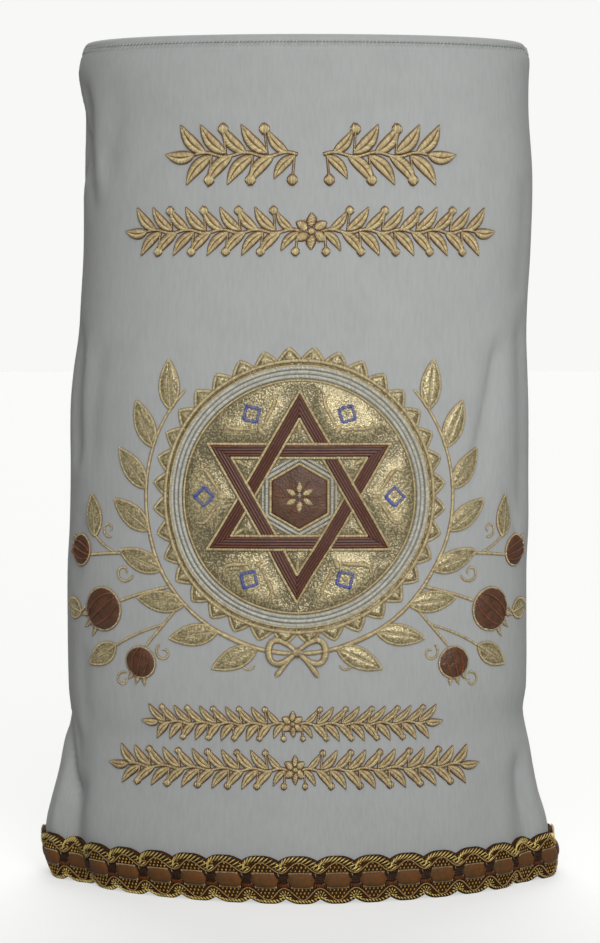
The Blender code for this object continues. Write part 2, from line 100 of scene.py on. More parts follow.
# Each row is one fold: where its low end and its high end lie, half width, and how far it stands out,
# which is negative for a trough. A fold whose low end is below the hem runs open through it.
FOLD_FADE = 0.035
FOLDS = (
    # low along, low height, high along, high height, half width, out
    (-0.219, 0.590, -0.217, 0.692, 0.0100, -0.0085),
    (-0.196, 0.580, -0.200, 0.690, 0.0140, 0.0020),
    (-0.214, 0.350, -0.221, 0.488, 0.0110, -0.0060),
    (-0.190, 0.345, -0.182, 0.475, 0.0130, -0.0030),
    (-0.1700, -0.080, -0.2110, 0.150, 0.0125, -0.0070),
    (-0.196, -0.080, -0.250, 0.150, 0.0120, 0.0030),
    (0.152, 0.330, 0.182, 0.480, 0.0130, -0.0032),
    (0.211, 0.300, 0.213, 0.500, 0.0130, -0.0035),
    (0.213, 0.285, 0.182, 0.352, 0.0110, -0.0022),
    (0.176, -0.080, 0.207, 0.125, 0.0115, -0.0055),
    (0.224, -0.080, 0.212, 0.130, 0.0110, 0.0030),
    (0.352, -0.080, 0.345, 0.190, 0.0200, -0.0050),
    (0.455, -0.080, 0.452, 0.240, 0.0240, -0.0045),
    (-0.405, -0.080, -0.398, 0.210, 0.0220, -0.0050),
    (-0.300, -0.080, -0.296, 0.150, 0.0180, -0.0040),
    (0.300, 0.380, 0.318, 0.600, 0.0200, -0.0035),
    (-0.330, 0.330, -0.345, 0.560, 0.0220, -0.0038),
)

# Creases that only the cloth itself has. Each has two half widths, left and right of its line, so that
# one side can drop sharply where one ply of cloth laps over the next.
CREASE_FADE = 0.016
CREASES = (
    # low along, low height, high along, high height, left half width, right half width, out
    (-0.2245, 0.6200, -0.2420, 0.6760, 0.0090, 0.0026, -0.0068),
    (-0.2385, 0.5900, -0.2245, 0.6440, 0.0090, 0.0026, -0.0060),
    (-0.2040, 0.5700, -0.2130, 0.6350, 0.0100, 0.0100, -0.0022),
    (-0.2150, 0.6050, -0.2230, 0.6700, 0.0040, 0.0080, 0.0018),
    (-0.1840, 0.5900, -0.1880, 0.6420, 0.0070, 0.0110, -0.0016),
    (-0.2040, 0.4420, -0.2310, 0.4900, 0.0090, 0.0030, -0.0024),
    (-0.1990, 0.4380, -0.2240, 0.4850, 0.0040, 0.0100, 0.0010),
    (-0.2120, 0.3500, -0.2160, 0.4400, 0.0120, 0.0070, -0.0016),
    (-0.1960, 0.0650, -0.2370, 0.1480, 0.0110, 0.0024, -0.0060),
    (-0.1960, 0.0800, -0.2080, 0.1500, 0.0090, 0.0090, 0.0034),
    (-0.1950, 0.0300, -0.1960, 0.0980, 0.0120, 0.0070, -0.0020),
    (-0.2130, 0.0350, -0.2260, 0.1200, 0.0050, 0.0050, 0.0022),
    (-0.1500, 0.1500, -0.1380, 0.2050, 0.0090, 0.0090, -0.0010),
    (-0.1960, 0.1400, -0.1950, 0.2100, 0.0080, 0.0080, -0.0014),
    (-0.1780, 0.6000, -0.1700, 0.6900, 0.0100, 0.0100, -0.0009),
    (-0.1680, 0.3600, -0.1600, 0.4700, 0.0120, 0.0120, -0.0010),
    (-0.2060, 0.2500, -0.2000, 0.3300, 0.0100, 0.0100, -0.0012),
    (0.1490, 0.3600, 0.1800, 0.4720, 0.0040, 0.0100, -0.0016),
    (0.2050, 0.5000, 0.2120, 0.6100, 0.0110, 0.0110, -0.0014),
    (0.2120, 0.2900, 0.1850, 0.3480, 0.0080, 0.0045, -0.0012),
    (0.1980, 0.0200, 0.2050, 0.1150, 0.0045, 0.0090, -0.0016),
    (0.1700, 0.0400, 0.1640, 0.1050, 0.0080, 0.0080, -0.0008),
    (0.1600, 0.5600, 0.1720, 0.6500, 0.0130, 0.0130, -0.0007),
    (0.2700, 0.1300, 0.2620, 0.3000, 0.0150, 0.0150, -0.0015),
    (0.4000, 0.2500, 0.4080, 0.4200, 0.0180, 0.0180, -0.0016),
    (-0.2700, 0.2000, -0.2620, 0.3800, 0.0150, 0.0150, -0.0015),
    (-0.4400, 0.1200, -0.4500, 0.3200, 0.0190, 0.0190, -0.0018),
    (0.4950, 0.4000, 0.4850, 0.6200, 0.0200, 0.0200, -0.0012),
)

# Fine grid that every place on the cloth is looked up in
GRID_ALONG = 1536
GRID_UP = 576


def hermite(before, start, end, after, share):
    """Smooth value between two rows of a table, from them and their two neighbours; each is (place,
    value)."""
    span = end[0] - start[0]
    slope_in = (end[1] - before[1]) / (end[0] - before[0]) * span
    slope_out = (after[1] - start[1]) / (after[0] - start[0]) * span
    square = share * share
    cube = square * share
    value = (2 * cube - 3 * square + 1) * start[1]
    value += (cube - 2 * square + share) * slope_in
    value += (3 * square - 2 * cube) * end[1]
    value += (cube - square) * slope_out
    return value


def section_at(height):
    """Left reach, right reach, half depth and squareness of the cloth at a height."""
    height = min(max(height, SECTIONS[0][0]), SECTIONS[-1][0])
    last = len(SECTIONS) - 2
    index = min(last, sum(1 for row in SECTIONS[1:-1] if row[0] <= height))
    start = SECTIONS[index]
    end = SECTIONS[index + 1]
    before = SECTIONS[index - 1] if index > 0 else start
    after = SECTIONS[index + 2] if index < last else end
    share = (height - start[0]) / (end[0] - start[0])
    rows = (before, start, end, after)
    return [hermite(*[(row[0], row[column]) for row in rows], share) for column in (1, 2, 3, 4)]


def oval(angle, squareness):
    """Points of the unit oval; angle 0 is the middle of the front and a right angle the right side."""
    power = 2 / squareness
    across = np.sin(angle)
    towards = np.cos(angle)
    return np.sign(across) * np.abs(across) ** power, -np.sign(towards) * np.abs(towards) ** power


def arc_table():
    """Distance round the waist from the middle of the front, for even steps of angle to the back."""
    across, towards = oval(np.pi * np.arange(ARC_STEPS + 1) / ARC_STEPS, WAIST_SQUARENESS)
    runs = np.hypot(np.diff(across) * WAIST_REACH, np.diff(towards) * WAIST_DEPTH)
    return np.concatenate(([0.0], np.cumsum(runs)))


ARC = arc_table()
HALF_GIRTH = float(ARC[-1])
SIDE_ALONG = float(ARC[ARC_STEPS // 2])


def smooth(value):
    """Soft step from 0 to 1."""
    value = np.clip(value, 0.0, 1.0)
    return value * value * (3 - 2 * value)


def folded_out(along, height, table, fade_length):
    """How far a table of folds pushes the cloth out, for arrays of places."""
    out = np.zeros(np.broadcast(along, height).shape)
    for low_along, low_height, high_along, high_height, *half_widths, depth in table:
        fade = smooth((height - low_height) / fade_length) * smooth((high_height - height) / fade_length)
        middle = low_along + (high_along - low_along) * (height - low_height) / (high_height - low_height)
        away = along - middle
        away = away - 2 * HALF_GIRTH * np.round(away / (2 * HALF_GIRTH))
        half_width = np.where(away < 0, half_widths[0], half_widths[-1])
        out += depth * fade * np.exp(-(away / half_width) ** 2)
    return out


def cloth_grid():
    """Points and outward directions of the cloth's outer face on the fine grid."""
    along = np.linspace(-HALF_GIRTH, HALF_GIRTH, GRID_ALONG + 1)[:, None]
    height = np.linspace(0.0, HEIGHT, GRID_UP + 1)[None, :]
    rows = np.array([section_at(float(level)) for level in height[0]])
    left, right, depth, squareness = (rows[:, column][None, :] for column in range(4))
    angle = np.sign(along) * np.interp(np.abs(along), ARC, np.linspace(0, np.pi, ARC_STEPS + 1))
    reach = (left + right) / 2
    across, towards = oval(angle, squareness)
    points = np.empty((GRID_ALONG + 1, GRID_UP + 1, 3))
    points[..., 0] = (right - left) / 2 + across * reach
    points[..., 1] = towards * depth
    points[..., 2] = height
    step = 0.01
    ahead = oval(angle + step, squareness)
    behind = oval(angle - step, squareness)
    tangent_x = (ahead[0] - behind[0]) * reach
    tangent_y = (ahead[1] - behind[1]) * depth
    size = np.hypot(tangent_x, tangent_y)
    out = folded_out(along, height, FOLDS, FOLD_FADE) + folded_out(along, height, CREASES, CREASE_FADE)
    points[..., 0] += tangent_y / size * out
    points[..., 1] -= tangent_x / size * out
    normals = np.cross(np.gradient(points, axis=0), np.gradient(points, axis=1))
    normals[0] = normals[-1] = (normals[0] + normals[-1]) / 2
    return points, normals / np.linalg.norm(normals, axis=2, keepdims=True)


GRID_POINTS, GRID_NORMALS = cloth_grid()


def on_cloth(along, height, lift=0.0):
    """Points at a lift above the cloth and the outward directions there, for arrays of places."""
    along, height, lift = np.broadcast_arrays(np.asarray(along, float), np.asarray(height, float), lift)
    column = ((along + HALF_GIRTH) / (2 * HALF_GIRTH) % 1.0) * GRID_ALONG
    row = np.clip(height / HEIGHT, 0.0, 1.0) * GRID_UP
    left = np.minimum(column.astype(int), GRID_ALONG - 1)
    low = np.minimum(row.astype(int), GRID_UP - 1)
    across = (column - left)[..., None]
    up = (row - low)[..., None]
    found = []
    for grid in (GRID_POINTS, GRID_NORMALS):
        lower = grid[left, low] * (1 - across) + grid[left + 1, low] * across
        upper = grid[left, low + 1] * (1 - across) + grid[left + 1, low + 1] * across
        found.append(lower * (1 - up) + upper * up)
    points, normals = found
    normals = normals / np.linalg.norm(normals, axis=-1, keepdims=True)
    return points + normals * lift[..., None], normals


def hem_table():
    """True length of the cloth round the middle of the braid, counted from the middle of the front."""
    line = GRID_POINTS[:, round(RIBBON_MIDDLE / HEIGHT * GRID_UP)]
    travelled = np.concatenate(([0.0], np.cumsum(np.linalg.norm(np.diff(line, axis=0), axis=1))))
    return travelled - travelled[GRID_ALONG // 2]


RIBBON_MIDDLE = 0.0196
HEM_LENGTHS = hem_table()
HEM_GIRTH = float(HEM_LENGTHS[-1] - HEM_LENGTHS[0])


def on_hem(way, height, lift=0.0):
    """As on_cloth, for places given by their true length round the hem, so that the braid's loops are
    even."""
    way = (np.asarray(way, float) - HEM_LENGTHS[0]) % HEM_GIRTH + HEM_LENGTHS[0]
    along = np.interp(way, HEM_LENGTHS, np.linspace(-HALF_GIRTH, HALF_GIRTH, GRID_ALONG + 1))
    return on_cloth(along, height, lift)


def path_of(along, height):
    """Points of a path from their two coordinates."""
    return np.stack((along, height), axis=1)


def linear(hex_colour):
    """Linear colour of an sRGB hex value."""
    channels = [int(hex_colour[index:index + 2], 16) / 255 for index in (1, 3, 5)]
    return tuple(c / 12.92 if c <= 0.04045 else ((c + 0.055) / 1.055) ** 2.4 for c in channels) + (1.0,)


def add_node(tree, kind, values=(), links=(), **settings):
    """Add one node with its settings, the values of its inputs and the sockets that feed it."""
    made = tree.nodes.new(kind)
    for key, value in settings.items():
        setattr(made, key, value)
    for key, value in dict(values).items():
        made.inputs[key].default_value = value
    for key, source in dict(links).items():
        tree.links.new(source, made.inputs[key])
    return made


def colour_property(name, description, hex_colour):
    """Colour that a user would change."""
    return FloatVectorProperty(
        name=name, description=description, default=linear(hex_colour), size=4, subtype="COLOR", min=0, max=1
    )


def length_property(name, description, metres):
    """Length that a user would change."""
    return FloatProperty(name=name, description=description, default=metres, unit="LENGTH", min=0)


def strength_property(name, description, value):
    """Strength that a user would change."""
    return FloatProperty(name=name, description=description, default=value, min=0)


class MantleCloth(bpy.types.PropertyGroup):
    """Velvet body and stiff top"""

    velvet_colour: colour_property("Velvet", "Colour of the velvet's pile", "#A4A6A5")
    backing_colour: colour_property("Backing", "Colour of the velvet's woven back", "#B5AFA2")
    seam_thread_colour: colour_property("Seam thread", "Colour of the stitches round the top", "#C4C6C4")
    thickness: length_property("Thickness", "Thickness of the velvet", 0.0025)
    stave_hole_radius: length_property("Stave hole radius", "Radius of the two holes in the top", 0.025)
    stave_hole_offset: length_property("Stave hole offset", "Distance of each hole from the middle", 0.095)


class MantleWork(bpy.types.PropertyGroup):
    """Padded work on the front"""

    leatherette_colour: colour_property("Gold leatherette", "Colour of the foil faced leatherette", "#AFA27C")
    brown_leather_colour: colour_property("Brown leather", "Colour of the fruits and the middle", "#54341F")
    burgundy_colour: colour_property("Burgundy thread", "Colour of the star's bands", "#37150B")
    copper_colour: colour_property("Copper thread", "Colour of the lines along the bands", "#8A4A26")
    gold_thread_colour: colour_property("Gold thread", "Colour of the satin stitches", "#EAD8A6")
    # Painted shade: mixed into the gold stitches towards their ends, and laid round the rows' satin as a
    # painted shadow
    gold_painted_shade_colour: colour_property(
        "Gold thread's edge", "Colour where the satin stitches turn under", "#7D5124"
    )
    white_thread_colour: colour_property("White thread", "Colour of the silver white satin", "#D4D3C8")
    blue_thread_colour: colour_property("Blue thread", "Colour of the small squares' edges", "#1C4FC0")
    thread_width: length_property("Thread width", "Width of one drawn satin stitch", 0.0014)


class MantleBraid(bpy.types.PropertyGroup):
    """Braid round the hem"""

    ground_colour: colour_property("Ground", "Colour of the braid's woven ground", "#3B230D")
    ribbon_colour: colour_property(
        "Ribbon", "Colour of the velvet ribbon where its pile leans away", "#563D22"
    )
    # Painted sheen: the warmer colour that each loop of ribbon takes towards its right
    ribbon_painted_sheen_colour: colour_property(
        "Ribbon glow", "Colour of the ribbon where its pile leans up", "#6F431B"
    )
    selvedge_colour: colour_property("Selvedge", "Colour of the ribbon's edges", "#B39F7C")
    rope_colour: colour_property("Rope", "Colour of the bright twisted cord", "#EAC771")
    cord_colour: colour_property("Cord", "Colour of the thin waving cord", "#B8935C")
    seed_colour: colour_property("Seeds", "Colour of the small stitches beside the ribbon", "#CDA54A")
    knot_colour: colour_property("Knot", "Colour of the knots and rope cores", "#331D0A")
    rust_colour: colour_property("Rust silk", "Colour of the strands under the knots", "#6B3A10")
    pitches: IntProperty(
        name="Pitches", description="Number of ribbon loops round the hem", default=36, min=8
    )
    braid_height: length_property("Height", "Height of the braid", 0.0395)


class MantleStage(bpy.types.PropertyGroup):
    """Floor, lights and camera"""

    key_power: strength_property("Key light", "Power of the soft light at the right", 54.0)
    sky_power: strength_property("Sky light", "Strength of the soft light above", 1.15)
    back_power: strength_property("Back light", "Strength of the soft light behind", 2.6)
    fill_strength: strength_property("Fill", "Strength of the light from all round", 0.16)
    floor_glow: strength_property("Floor glow", "Brightness that the floor has by itself", 0.58)
    backdrop_strength: strength_property("Backdrop", "Brightness behind the mantle", 1.02)
    floor_colour: colour_property("Floor", "Colour of the floor", "#F6F6F5")
    floor_paper: colour_property("Floor paper", "Colour that the floor sends back on the mantle", "#A8A8A6")


def sizes(name):
    """One of the mantle's groups of sizes and colours."""
    return getattr(bpy.context.scene, name)


def new_material(name, roughness, metallic=0.0):
    """Empty Principled material, its tree and its shader."""
    material = bpy.data.materials.new(name)
    material.use_nodes = True
    tree = material.node_tree
    shader = tree.nodes["Principled BSDF"]
    shader.inputs["Roughness"].default_value = roughness
    shader.inputs["Metallic"].default_value = metallic
    return material, tree, shader


def blend_colours(tree, share, dark, light):
    """Colour between two, by a share."""
    mixed = add_node(tree, "ShaderNodeMix", {6: dark, 7: light}, {0: share}, data_type="RGBA")
    return mixed.outputs[2]


def shaded(colour, factor):
    """Colour made darker or lighter by a factor."""
    return tuple(min(channel * factor, 1.0) for channel in colour[:3]) + (1.0,)


def add_bump(tree, shader, height, distance, strength):
    """Raise the surface by a height that is given from 0 to 1."""
    bump = add_node(
        tree, "ShaderNodeBump", {"Strength": strength, "Distance": distance}, {"Height": height}
    )
    tree.links.new(bump.outputs["Normal"], shader.inputs["Normal"])


def noise_of(tree, vector, size_mm, detail=3.0, stretch=(1, 1, 1)):
    """Noise whose grains have a real size in millimetres."""
    mapped = add_node(tree, "ShaderNodeMapping", {"Scale": stretch}, {"Vector": vector})
    noise = add_node(
        tree,
        "ShaderNodeTexNoise",
        {"Scale": 1000 / size_mm, "Detail": detail},
        {"Vector": mapped.outputs["Vector"]},
    )
    return noise.outputs["Fac"]


def cotton_velvet(name, colour):
    """Cotton velvet with a short upright pile: matt, faintly streaked where the pile leans, soft at its
    edges."""
    material, tree, shader = new_material(name, 0.92)
    place = add_node(tree, "ShaderNodeTexCoord").outputs["Object"]
    # pile leans in soft patches 35 mm wide, and in upright streaks 2 mm wide and 14 mm tall
    patches = noise_of(tree, place, 35.0, 2.0)
    streaks = noise_of(tree, place, 2.4, 3.0, (1, 1, 0.17))
    pile = noise_of(tree, place, 0.9, 2.0)
    soft = add_node(tree, "ShaderNodeMath", {1: 0.5}, {0: patches, 2: streaks}, operation="MULTIPLY_ADD")
    lean = add_node(tree, "ShaderNodeMapRange", {1: 0.55, 2: 0.95}, {0: soft.outputs[0]})
    body = blend_colours(tree, lean.outputs[0], shaded(colour, 0.955), shaded(colour, 1.04))
    tree.links.new(body, shader.inputs["Base Color"])
    shader.inputs["Sheen Weight"].default_value = 0.04
    shader.inputs["Sheen Roughness"].default_value = 0.45
    shader.inputs["Specular IOR Level"].default_value = 0.15
    height = add_node(tree, "ShaderNodeMath", {1: 0.6}, {0: streaks, 2: pile}, operation="MULTIPLY_ADD")
    add_bump(tree, shader, height.outputs[0], 0.0004, 0.22)
    return material


def woven_back(name, colour):
    """Plain weave back of the velvet: matt cotton, threads drawn 0.8 mm apart so that they show."""
    material, tree, shader = new_material(name, 0.85)
    place = add_node(tree, "ShaderNodeTexCoord").outputs["Object"]
    mapped = add_node(tree, "ShaderNodeMapping", {"Scale": (1250, 1250, 1250)}, {"Vector": place})
    weave = add_node(tree, "ShaderNodeTexChecker", {"Scale": 1.0}, {"Vector": mapped.outputs[0]})
    # colour follows the weave's height: painted shade on the threads that lie low
    body = blend_colours(tree, weave.outputs["Fac"], shaded(colour, 0.9), colour)
    tree.links.new(body, shader.inputs["Base Color"])
    add_bump(tree, shader, weave.outputs["Fac"], 0.0002, 0.3)
    return material


def thread(name, colour, roughness, metallic=0.0, spread=0.35, painted_end_shade=None, specular=0.5):
    """Twisted thread: every stitch is a little lighter or darker than the next, and darker towards its ends,
    painted shade where it dives into the cloth."""
    material, tree, shader = new_material(name, roughness, metallic)
    painted_end_shade = painted_end_shade or shaded(colour, 0.5)
    shade = add_node(tree, "ShaderNodeAttribute", attribute_name="shade").outputs["Fac"]
    body = blend_colours(tree, shade, shaded(colour, 1 - spread), shaded(colour, 1 + spread))
    # rim is 0 at a stitch's middle and 1 at its ends: it mixes in painted shade towards the ends
    ends = add_node(tree, "ShaderNodeAttribute", attribute_name="rim").outputs["Fac"]
    painted_shade_share = add_node(tree, "ShaderNodeMapRange", {1: 0.2, 2: 1.0}, {0: ends}).outputs[0]
    mixed = add_node(tree, "ShaderNodeMix", {7: painted_end_shade}, {0: painted_shade_share, 6: body}, data_type="RGBA")
    body = mixed.outputs[2]
    tree.links.new(body, shader.inputs["Base Color"])
    shader.inputs["Sheen Weight"].default_value = 0.08
    shader.inputs["Specular IOR Level"].default_value = specular
    place = add_node(tree, "ShaderNodeTexCoord").outputs["Object"]
    # plies of the thread, drawn 0.5 mm apart
    add_bump(tree, shader, noise_of(tree, place, 0.5, 2.0), 0.0002, 0.4)
    return material


def foil_leatherette(name, colour):
    """Foil faced leatherette: fine pebbled grain with a silky gleam. Its colour is painted highlight on the
    crests of its stuffing and painted shade where it is sewn down and in the hollows between its pebbles."""
    material, tree, shader = new_material(name, 0.36, 0.45)
    place = add_node(tree, "ShaderNodeTexCoord").outputs["Object"]
    # pebbles of about 1.5 mm, a little larger than real ones so that they show
    pebbles = add_node(
        tree, "ShaderNodeTexVoronoi", {"Scale": 640.0, "Randomness": 1.0}, {"Vector": place}, feature="F1"
    ).outputs["Distance"]
    # colour follows the pebbles' height, so their hollows are darker: painted shade
    tops = add_node(tree, "ShaderNodeMapRange", {1: 0.7, 2: 0.1}, {0: pebbles})
    grain = noise_of(tree, place, 2.2, 3.0)
    mixed = add_node(
        tree, "ShaderNodeMath", {1: 0.55}, {0: tops.outputs[0], 2: grain}, operation="MULTIPLY_ADD"
    )
    level = add_node(tree, "ShaderNodeMapRange", {1: 0.5, 2: 1.1}, {0: mixed.outputs[0]})
    # puff, the stuffing's rise, paints highlight on the crests and shade in the low parts
    raised = add_node(tree, "ShaderNodeAttribute", attribute_name="puff").outputs["Fac"]
    grain_and_painted_light = add_node(
        tree, "ShaderNodeMath", {1: 0.62}, {0: raised, 2: level.outputs[0]}, operation="MULTIPLY_ADD"
    )
    share = add_node(tree, "ShaderNodeMapRange", {1: 0.25, 2: 1.45}, {0: grain_and_painted_light.outputs[0]})
    body = blend_colours(tree, share.outputs[0], shaded(colour, 0.36), shaded(colour, 1.5))
    tree.links.new(body, shader.inputs["Base Color"])
    add_bump(tree, shader, mixed.outputs[0], 0.0006, 0.5)
    return material


def pebbled_leather(name, colour, streak):
    """Brown glove leather: fine pebble grain, low gloss, with faint reddish streaks."""
    material, tree, shader = new_material(name, 0.5)
    place = add_node(tree, "ShaderNodeTexCoord").outputs["Object"]
    pebbles = add_node(tree, "ShaderNodeTexVoronoi", {"Scale": 620.0}, {"Vector": place}).outputs["Distance"]
    clouds = noise_of(tree, place, 6.0, 3.0)
    level = add_node(tree, "ShaderNodeMapRange", {1: 0.35, 2: 0.65}, {0: clouds})
    body = blend_colours(tree, level.outputs[0], shaded(colour, 0.72), streak)
    tree.links.new(body, shader.inputs["Base Color"])
    add_bump(tree, shader, pebbles, 0.0005, 0.6)
    return material


def add_piece(name, points, faces, materials, indices=None, attributes=()):
    """Put a mesh in the scene as one named piece, at the origin."""
    mesh = bpy.data.meshes.new(name)
    mesh.from_pydata([tuple(point) for point in points], [], [tuple(int(c) for c in face) for face in faces])
    for material in materials:
        mesh.materials.append(material)
    if indices is not None:
        mesh.polygons.foreach_set("material_index", np.asarray(indices, dtype=np.int32))
    for label, values in dict(attributes).items():
        layer = mesh.attributes.new(label, "FLOAT", "POINT")
        layer.data.foreach_set("value", np.asarray(values, dtype=np.float32))
    mesh.shade_smooth()
    mesh.update()
    piece = bpy.data.objects.new(name, mesh)
    bpy.context.collection.objects.link(piece)
    return piece


def paint(piece, label, values):
    """Give every point of a closed sheet a value: the same for the outer grid and the inner one."""
    flat = np.asarray(values, dtype=np.float32).ravel()
    layer = piece.data.attributes.new(label, "FLOAT", "POINT")
    layer.data.foreach_set("value", np.concatenate((flat, flat)))


def grid_faces(columns, rows, closed=False, start=0):
    """Faces of a grid of points stored column by column."""
    faces = []
    last = columns if closed else columns - 1
    for column in range(last):
        here = start + column * rows
        following = start + (column + 1) % columns * rows
        for row in range(rows - 1):
            faces.append((here + row, following + row, following + row + 1, here + row + 1))
    return faces


def sheet_piece(name, outer, inner, materials, closed=False):
    """Close two grids of points, outer and inner, into one thin body; the inner face has the second
    material."""
    columns, rows = outer.shape[:2]
    count = columns * rows
    faces = grid_faces(columns, rows, closed)
    front = len(faces)
    faces += [face[::-1] for face in grid_faces(columns, rows, closed, count)]
    backs = len(faces)
    last = columns if closed else columns - 1
    for column in range(last):
        here = column * rows
        following = (column + 1) % columns * rows
        faces.append((following, here, here + count, following + count))
        top = rows - 1
        faces.append((here + top, following + top, following + top + count, here + top + count))
    if not closed:
        end = (columns - 1) * rows
        for row in range(rows - 1):
            faces.append((row, row + 1, row + 1 + count, row + count))
            faces.append((end + row + 1, end + row, end + row + count, end + row + 1 + count))
    points = np.concatenate((outer.reshape(-1, 3), inner.reshape(-1, 3)))
    indices = np.zeros(len(faces), dtype=int)
    if len(materials) > 1:
        indices[front:backs] = 1
    return add_piece(name, points, faces, materials, indices)


# Seam gap at each side, and how far above the floor the cloth ends behind the braid
SIDE_SEAM = 0.0004
HEM_RISE = 0.0036
PANEL_ROWS = 116
FRONT_COLUMNS = 204
BACK_COLUMNS = 132


class MANTLE_OT_panels(bpy.types.Operator):
    """Cut, fold and hang the two velvet panels"""

    bl_idname = "mantle.panels"
    bl_label = "Velvet Panels"

    def execute(self, context):
        cloth = sizes("mantle_cloth")
        velvet = cotton_velvet("cotton_velvet", cloth.velvet_colour[:])
        backing = woven_back("velvet_backing", cloth.backing_colour[:])
        heights = np.linspace(HEM_RISE, WALL_TOP, PANEL_ROWS)[None, :]
        for node, first, last, columns in (
            ("front_panel", -SIDE_ALONG, SIDE_ALONG, FRONT_COLUMNS),
            ("back_panel", SIDE_ALONG, 2 * HALF_GIRTH - SIDE_ALONG, BACK_COLUMNS),
        ):
            along = np.linspace(first + SIDE_SEAM / 2, last - SIDE_SEAM / 2, columns)[:, None]
            outer, normals = on_cloth(along, heights)
            # the cloth turns in at its side seams, so a soft groove runs down each side
            edge = np.minimum(along - first, last - along)
            outer = outer - normals * (0.0011 * np.exp(-(edge / 0.0035) ** 2))[..., None]
            inward = normals * cloth.thickness
            inward[..., 2] = 0
            piece = sheet_piece(node + "_velvet", outer, outer - inward, [velvet, backing])
            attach(piece, "root")
            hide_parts(node)
        return {"FINISHED"}


# Stiff top: each row is a level of its edge, with how far it lies inside the widest outline
RIM_ROUND = (
    # share of thickness, inset
    (0.00, 0.0006),
    (0.05, 0.0001),
    (0.14, -0.0003),
    (0.28, -0.0004),
    (0.46, -0.0001),
    (0.62, 0.0005),
    (0.76, 0.0013),
    (0.87, 0.0024),
    (0.95, 0.0038),
    (0.99, 0.0055),
    (1.00, 0.0072),
)
RIM_REACH_LEFT = 0.1848
RIM_REACH_RIGHT = 0.1932
RIM_DEPTH = 0.0972
RIM_SQUARENESS = 2.15
RIM_COLUMNS = 192
RIM_MIDDLE = (RIM_REACH_RIGHT - RIM_REACH_LEFT) / 2
HOLE_SIDES = 64


def rim_loop(inset, level):
    """Points round the stiff top at one level."""
    across, towards = oval(2 * np.pi * np.arange(RIM_COLUMNS) / RIM_COLUMNS, RIM_SQUARENESS)
    reach = (RIM_REACH_RIGHT + RIM_REACH_LEFT) / 2 - inset
    x = RIM_MIDDLE + across * reach
    return np.stack((x, towards * (RIM_DEPTH - inset), np.full(RIM_COLUMNS, level)), axis=1)


class MANTLE_OT_top(bpy.types.Operator):
    """Cover the stiff top in velvet, with two round holes for the scroll's staves"""

    bl_idname = "mantle.top"
    bl_label = "Stiff Top"

    def execute(self, context):
        cloth = sizes("mantle_cloth")
        velvet = bpy.data.materials["cotton_velvet"]
        base = HEIGHT - TOP_BOARD
        loops = [rim_loop(inset, base + TOP_BOARD * share) for share, inset in RIM_ROUND]
        points = np.concatenate(loops)
        faces = []
        for level in range(len(loops) - 1):
            for column in range(RIM_COLUMNS):
                here = level * RIM_COLUMNS + column
                following = level * RIM_COLUMNS + (column + 1) % RIM_COLUMNS
                faces.append((here, following, following + RIM_COLUMNS, here + RIM_COLUMNS))
        faces.append(list(range(RIM_COLUMNS))[::-1])
        faces.append([(len(loops) - 1) * RIM_COLUMNS + column for column in range(RIM_COLUMNS)])
        piece = add_piece("top_velvet_board", points, faces, [velvet])
        cutters = []
        for side in (-1, 1):
            builder = bmesh.new()
            bmesh.ops.create_cone(
                builder,
                cap_ends=True,
                segments=HOLE_SIDES,
                radius1=cloth.stave_hole_radius,
                radius2=cloth.stave_hole_radius,
                depth=TOP_BOARD * 4,
            )
            middle = Vector((RIM_MIDDLE + side * cloth.stave_hole_offset, 0, base))
            bmesh.ops.translate(builder, verts=builder.verts, vec=middle)
            mesh = bpy.data.meshes.new("stave_hole")
            builder.to_mesh(mesh)
            builder.free()
            cutter = bpy.data.objects.new("stave_hole", mesh)
            bpy.context.collection.objects.link(cutter)
            cutters.append(cutter)
            hole = piece.modifiers.new("hole", "BOOLEAN")
            hole.operation = "DIFFERENCE"
            hole.object = cutter
        soften = piece.modifiers.new("soften", "BEVEL")
        soften.width = 0.0014
        soften.segments = 3
        soften.limit_method = "ANGLE"
        soften.angle_limit = math.radians(60)
        graph = bpy.context.evaluated_depsgraph_get()
        finished = bpy.data.meshes.new_from_object(piece.evaluated_get(graph))
        piece.modifiers.clear()
        piece.data = finished
        for cutter in cutters:
            bpy.data.objects.remove(cutter, do_unlink=True)
        finished.shade_smooth()
        finished.set_sharp_from_angle(angle=math.radians(35))
        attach(piece, "root")
        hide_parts("top")
        return {"FINISHED"}


# Camera of the photograph: 2.2 m in front, level with the chest of the mantle
CAMERA_PLACE = (0.0, -2.2, 0.5194)
CAMERA_DOWN = 0.0762
CAMERA_LENS = 96.74
FLOOR_RADIUS = 12.0
FLOOR_SIDES = 96
KEY_PLACE = (0.36, -1.50, 0.80)
KEY_AIM = (0.03, 0.0, 0.44)
KEY_SIZE = 0.35
KEY_SPREAD = math.radians(64)
SUNS = (
    # name, which strength, softness in radians, where it comes from
    ("sky", "sky_power", 0.9, (0.05, -1.0, 1.15)),
    ("back", "back_power", 0.9, (0.0, 1.0, 0.95)),
)


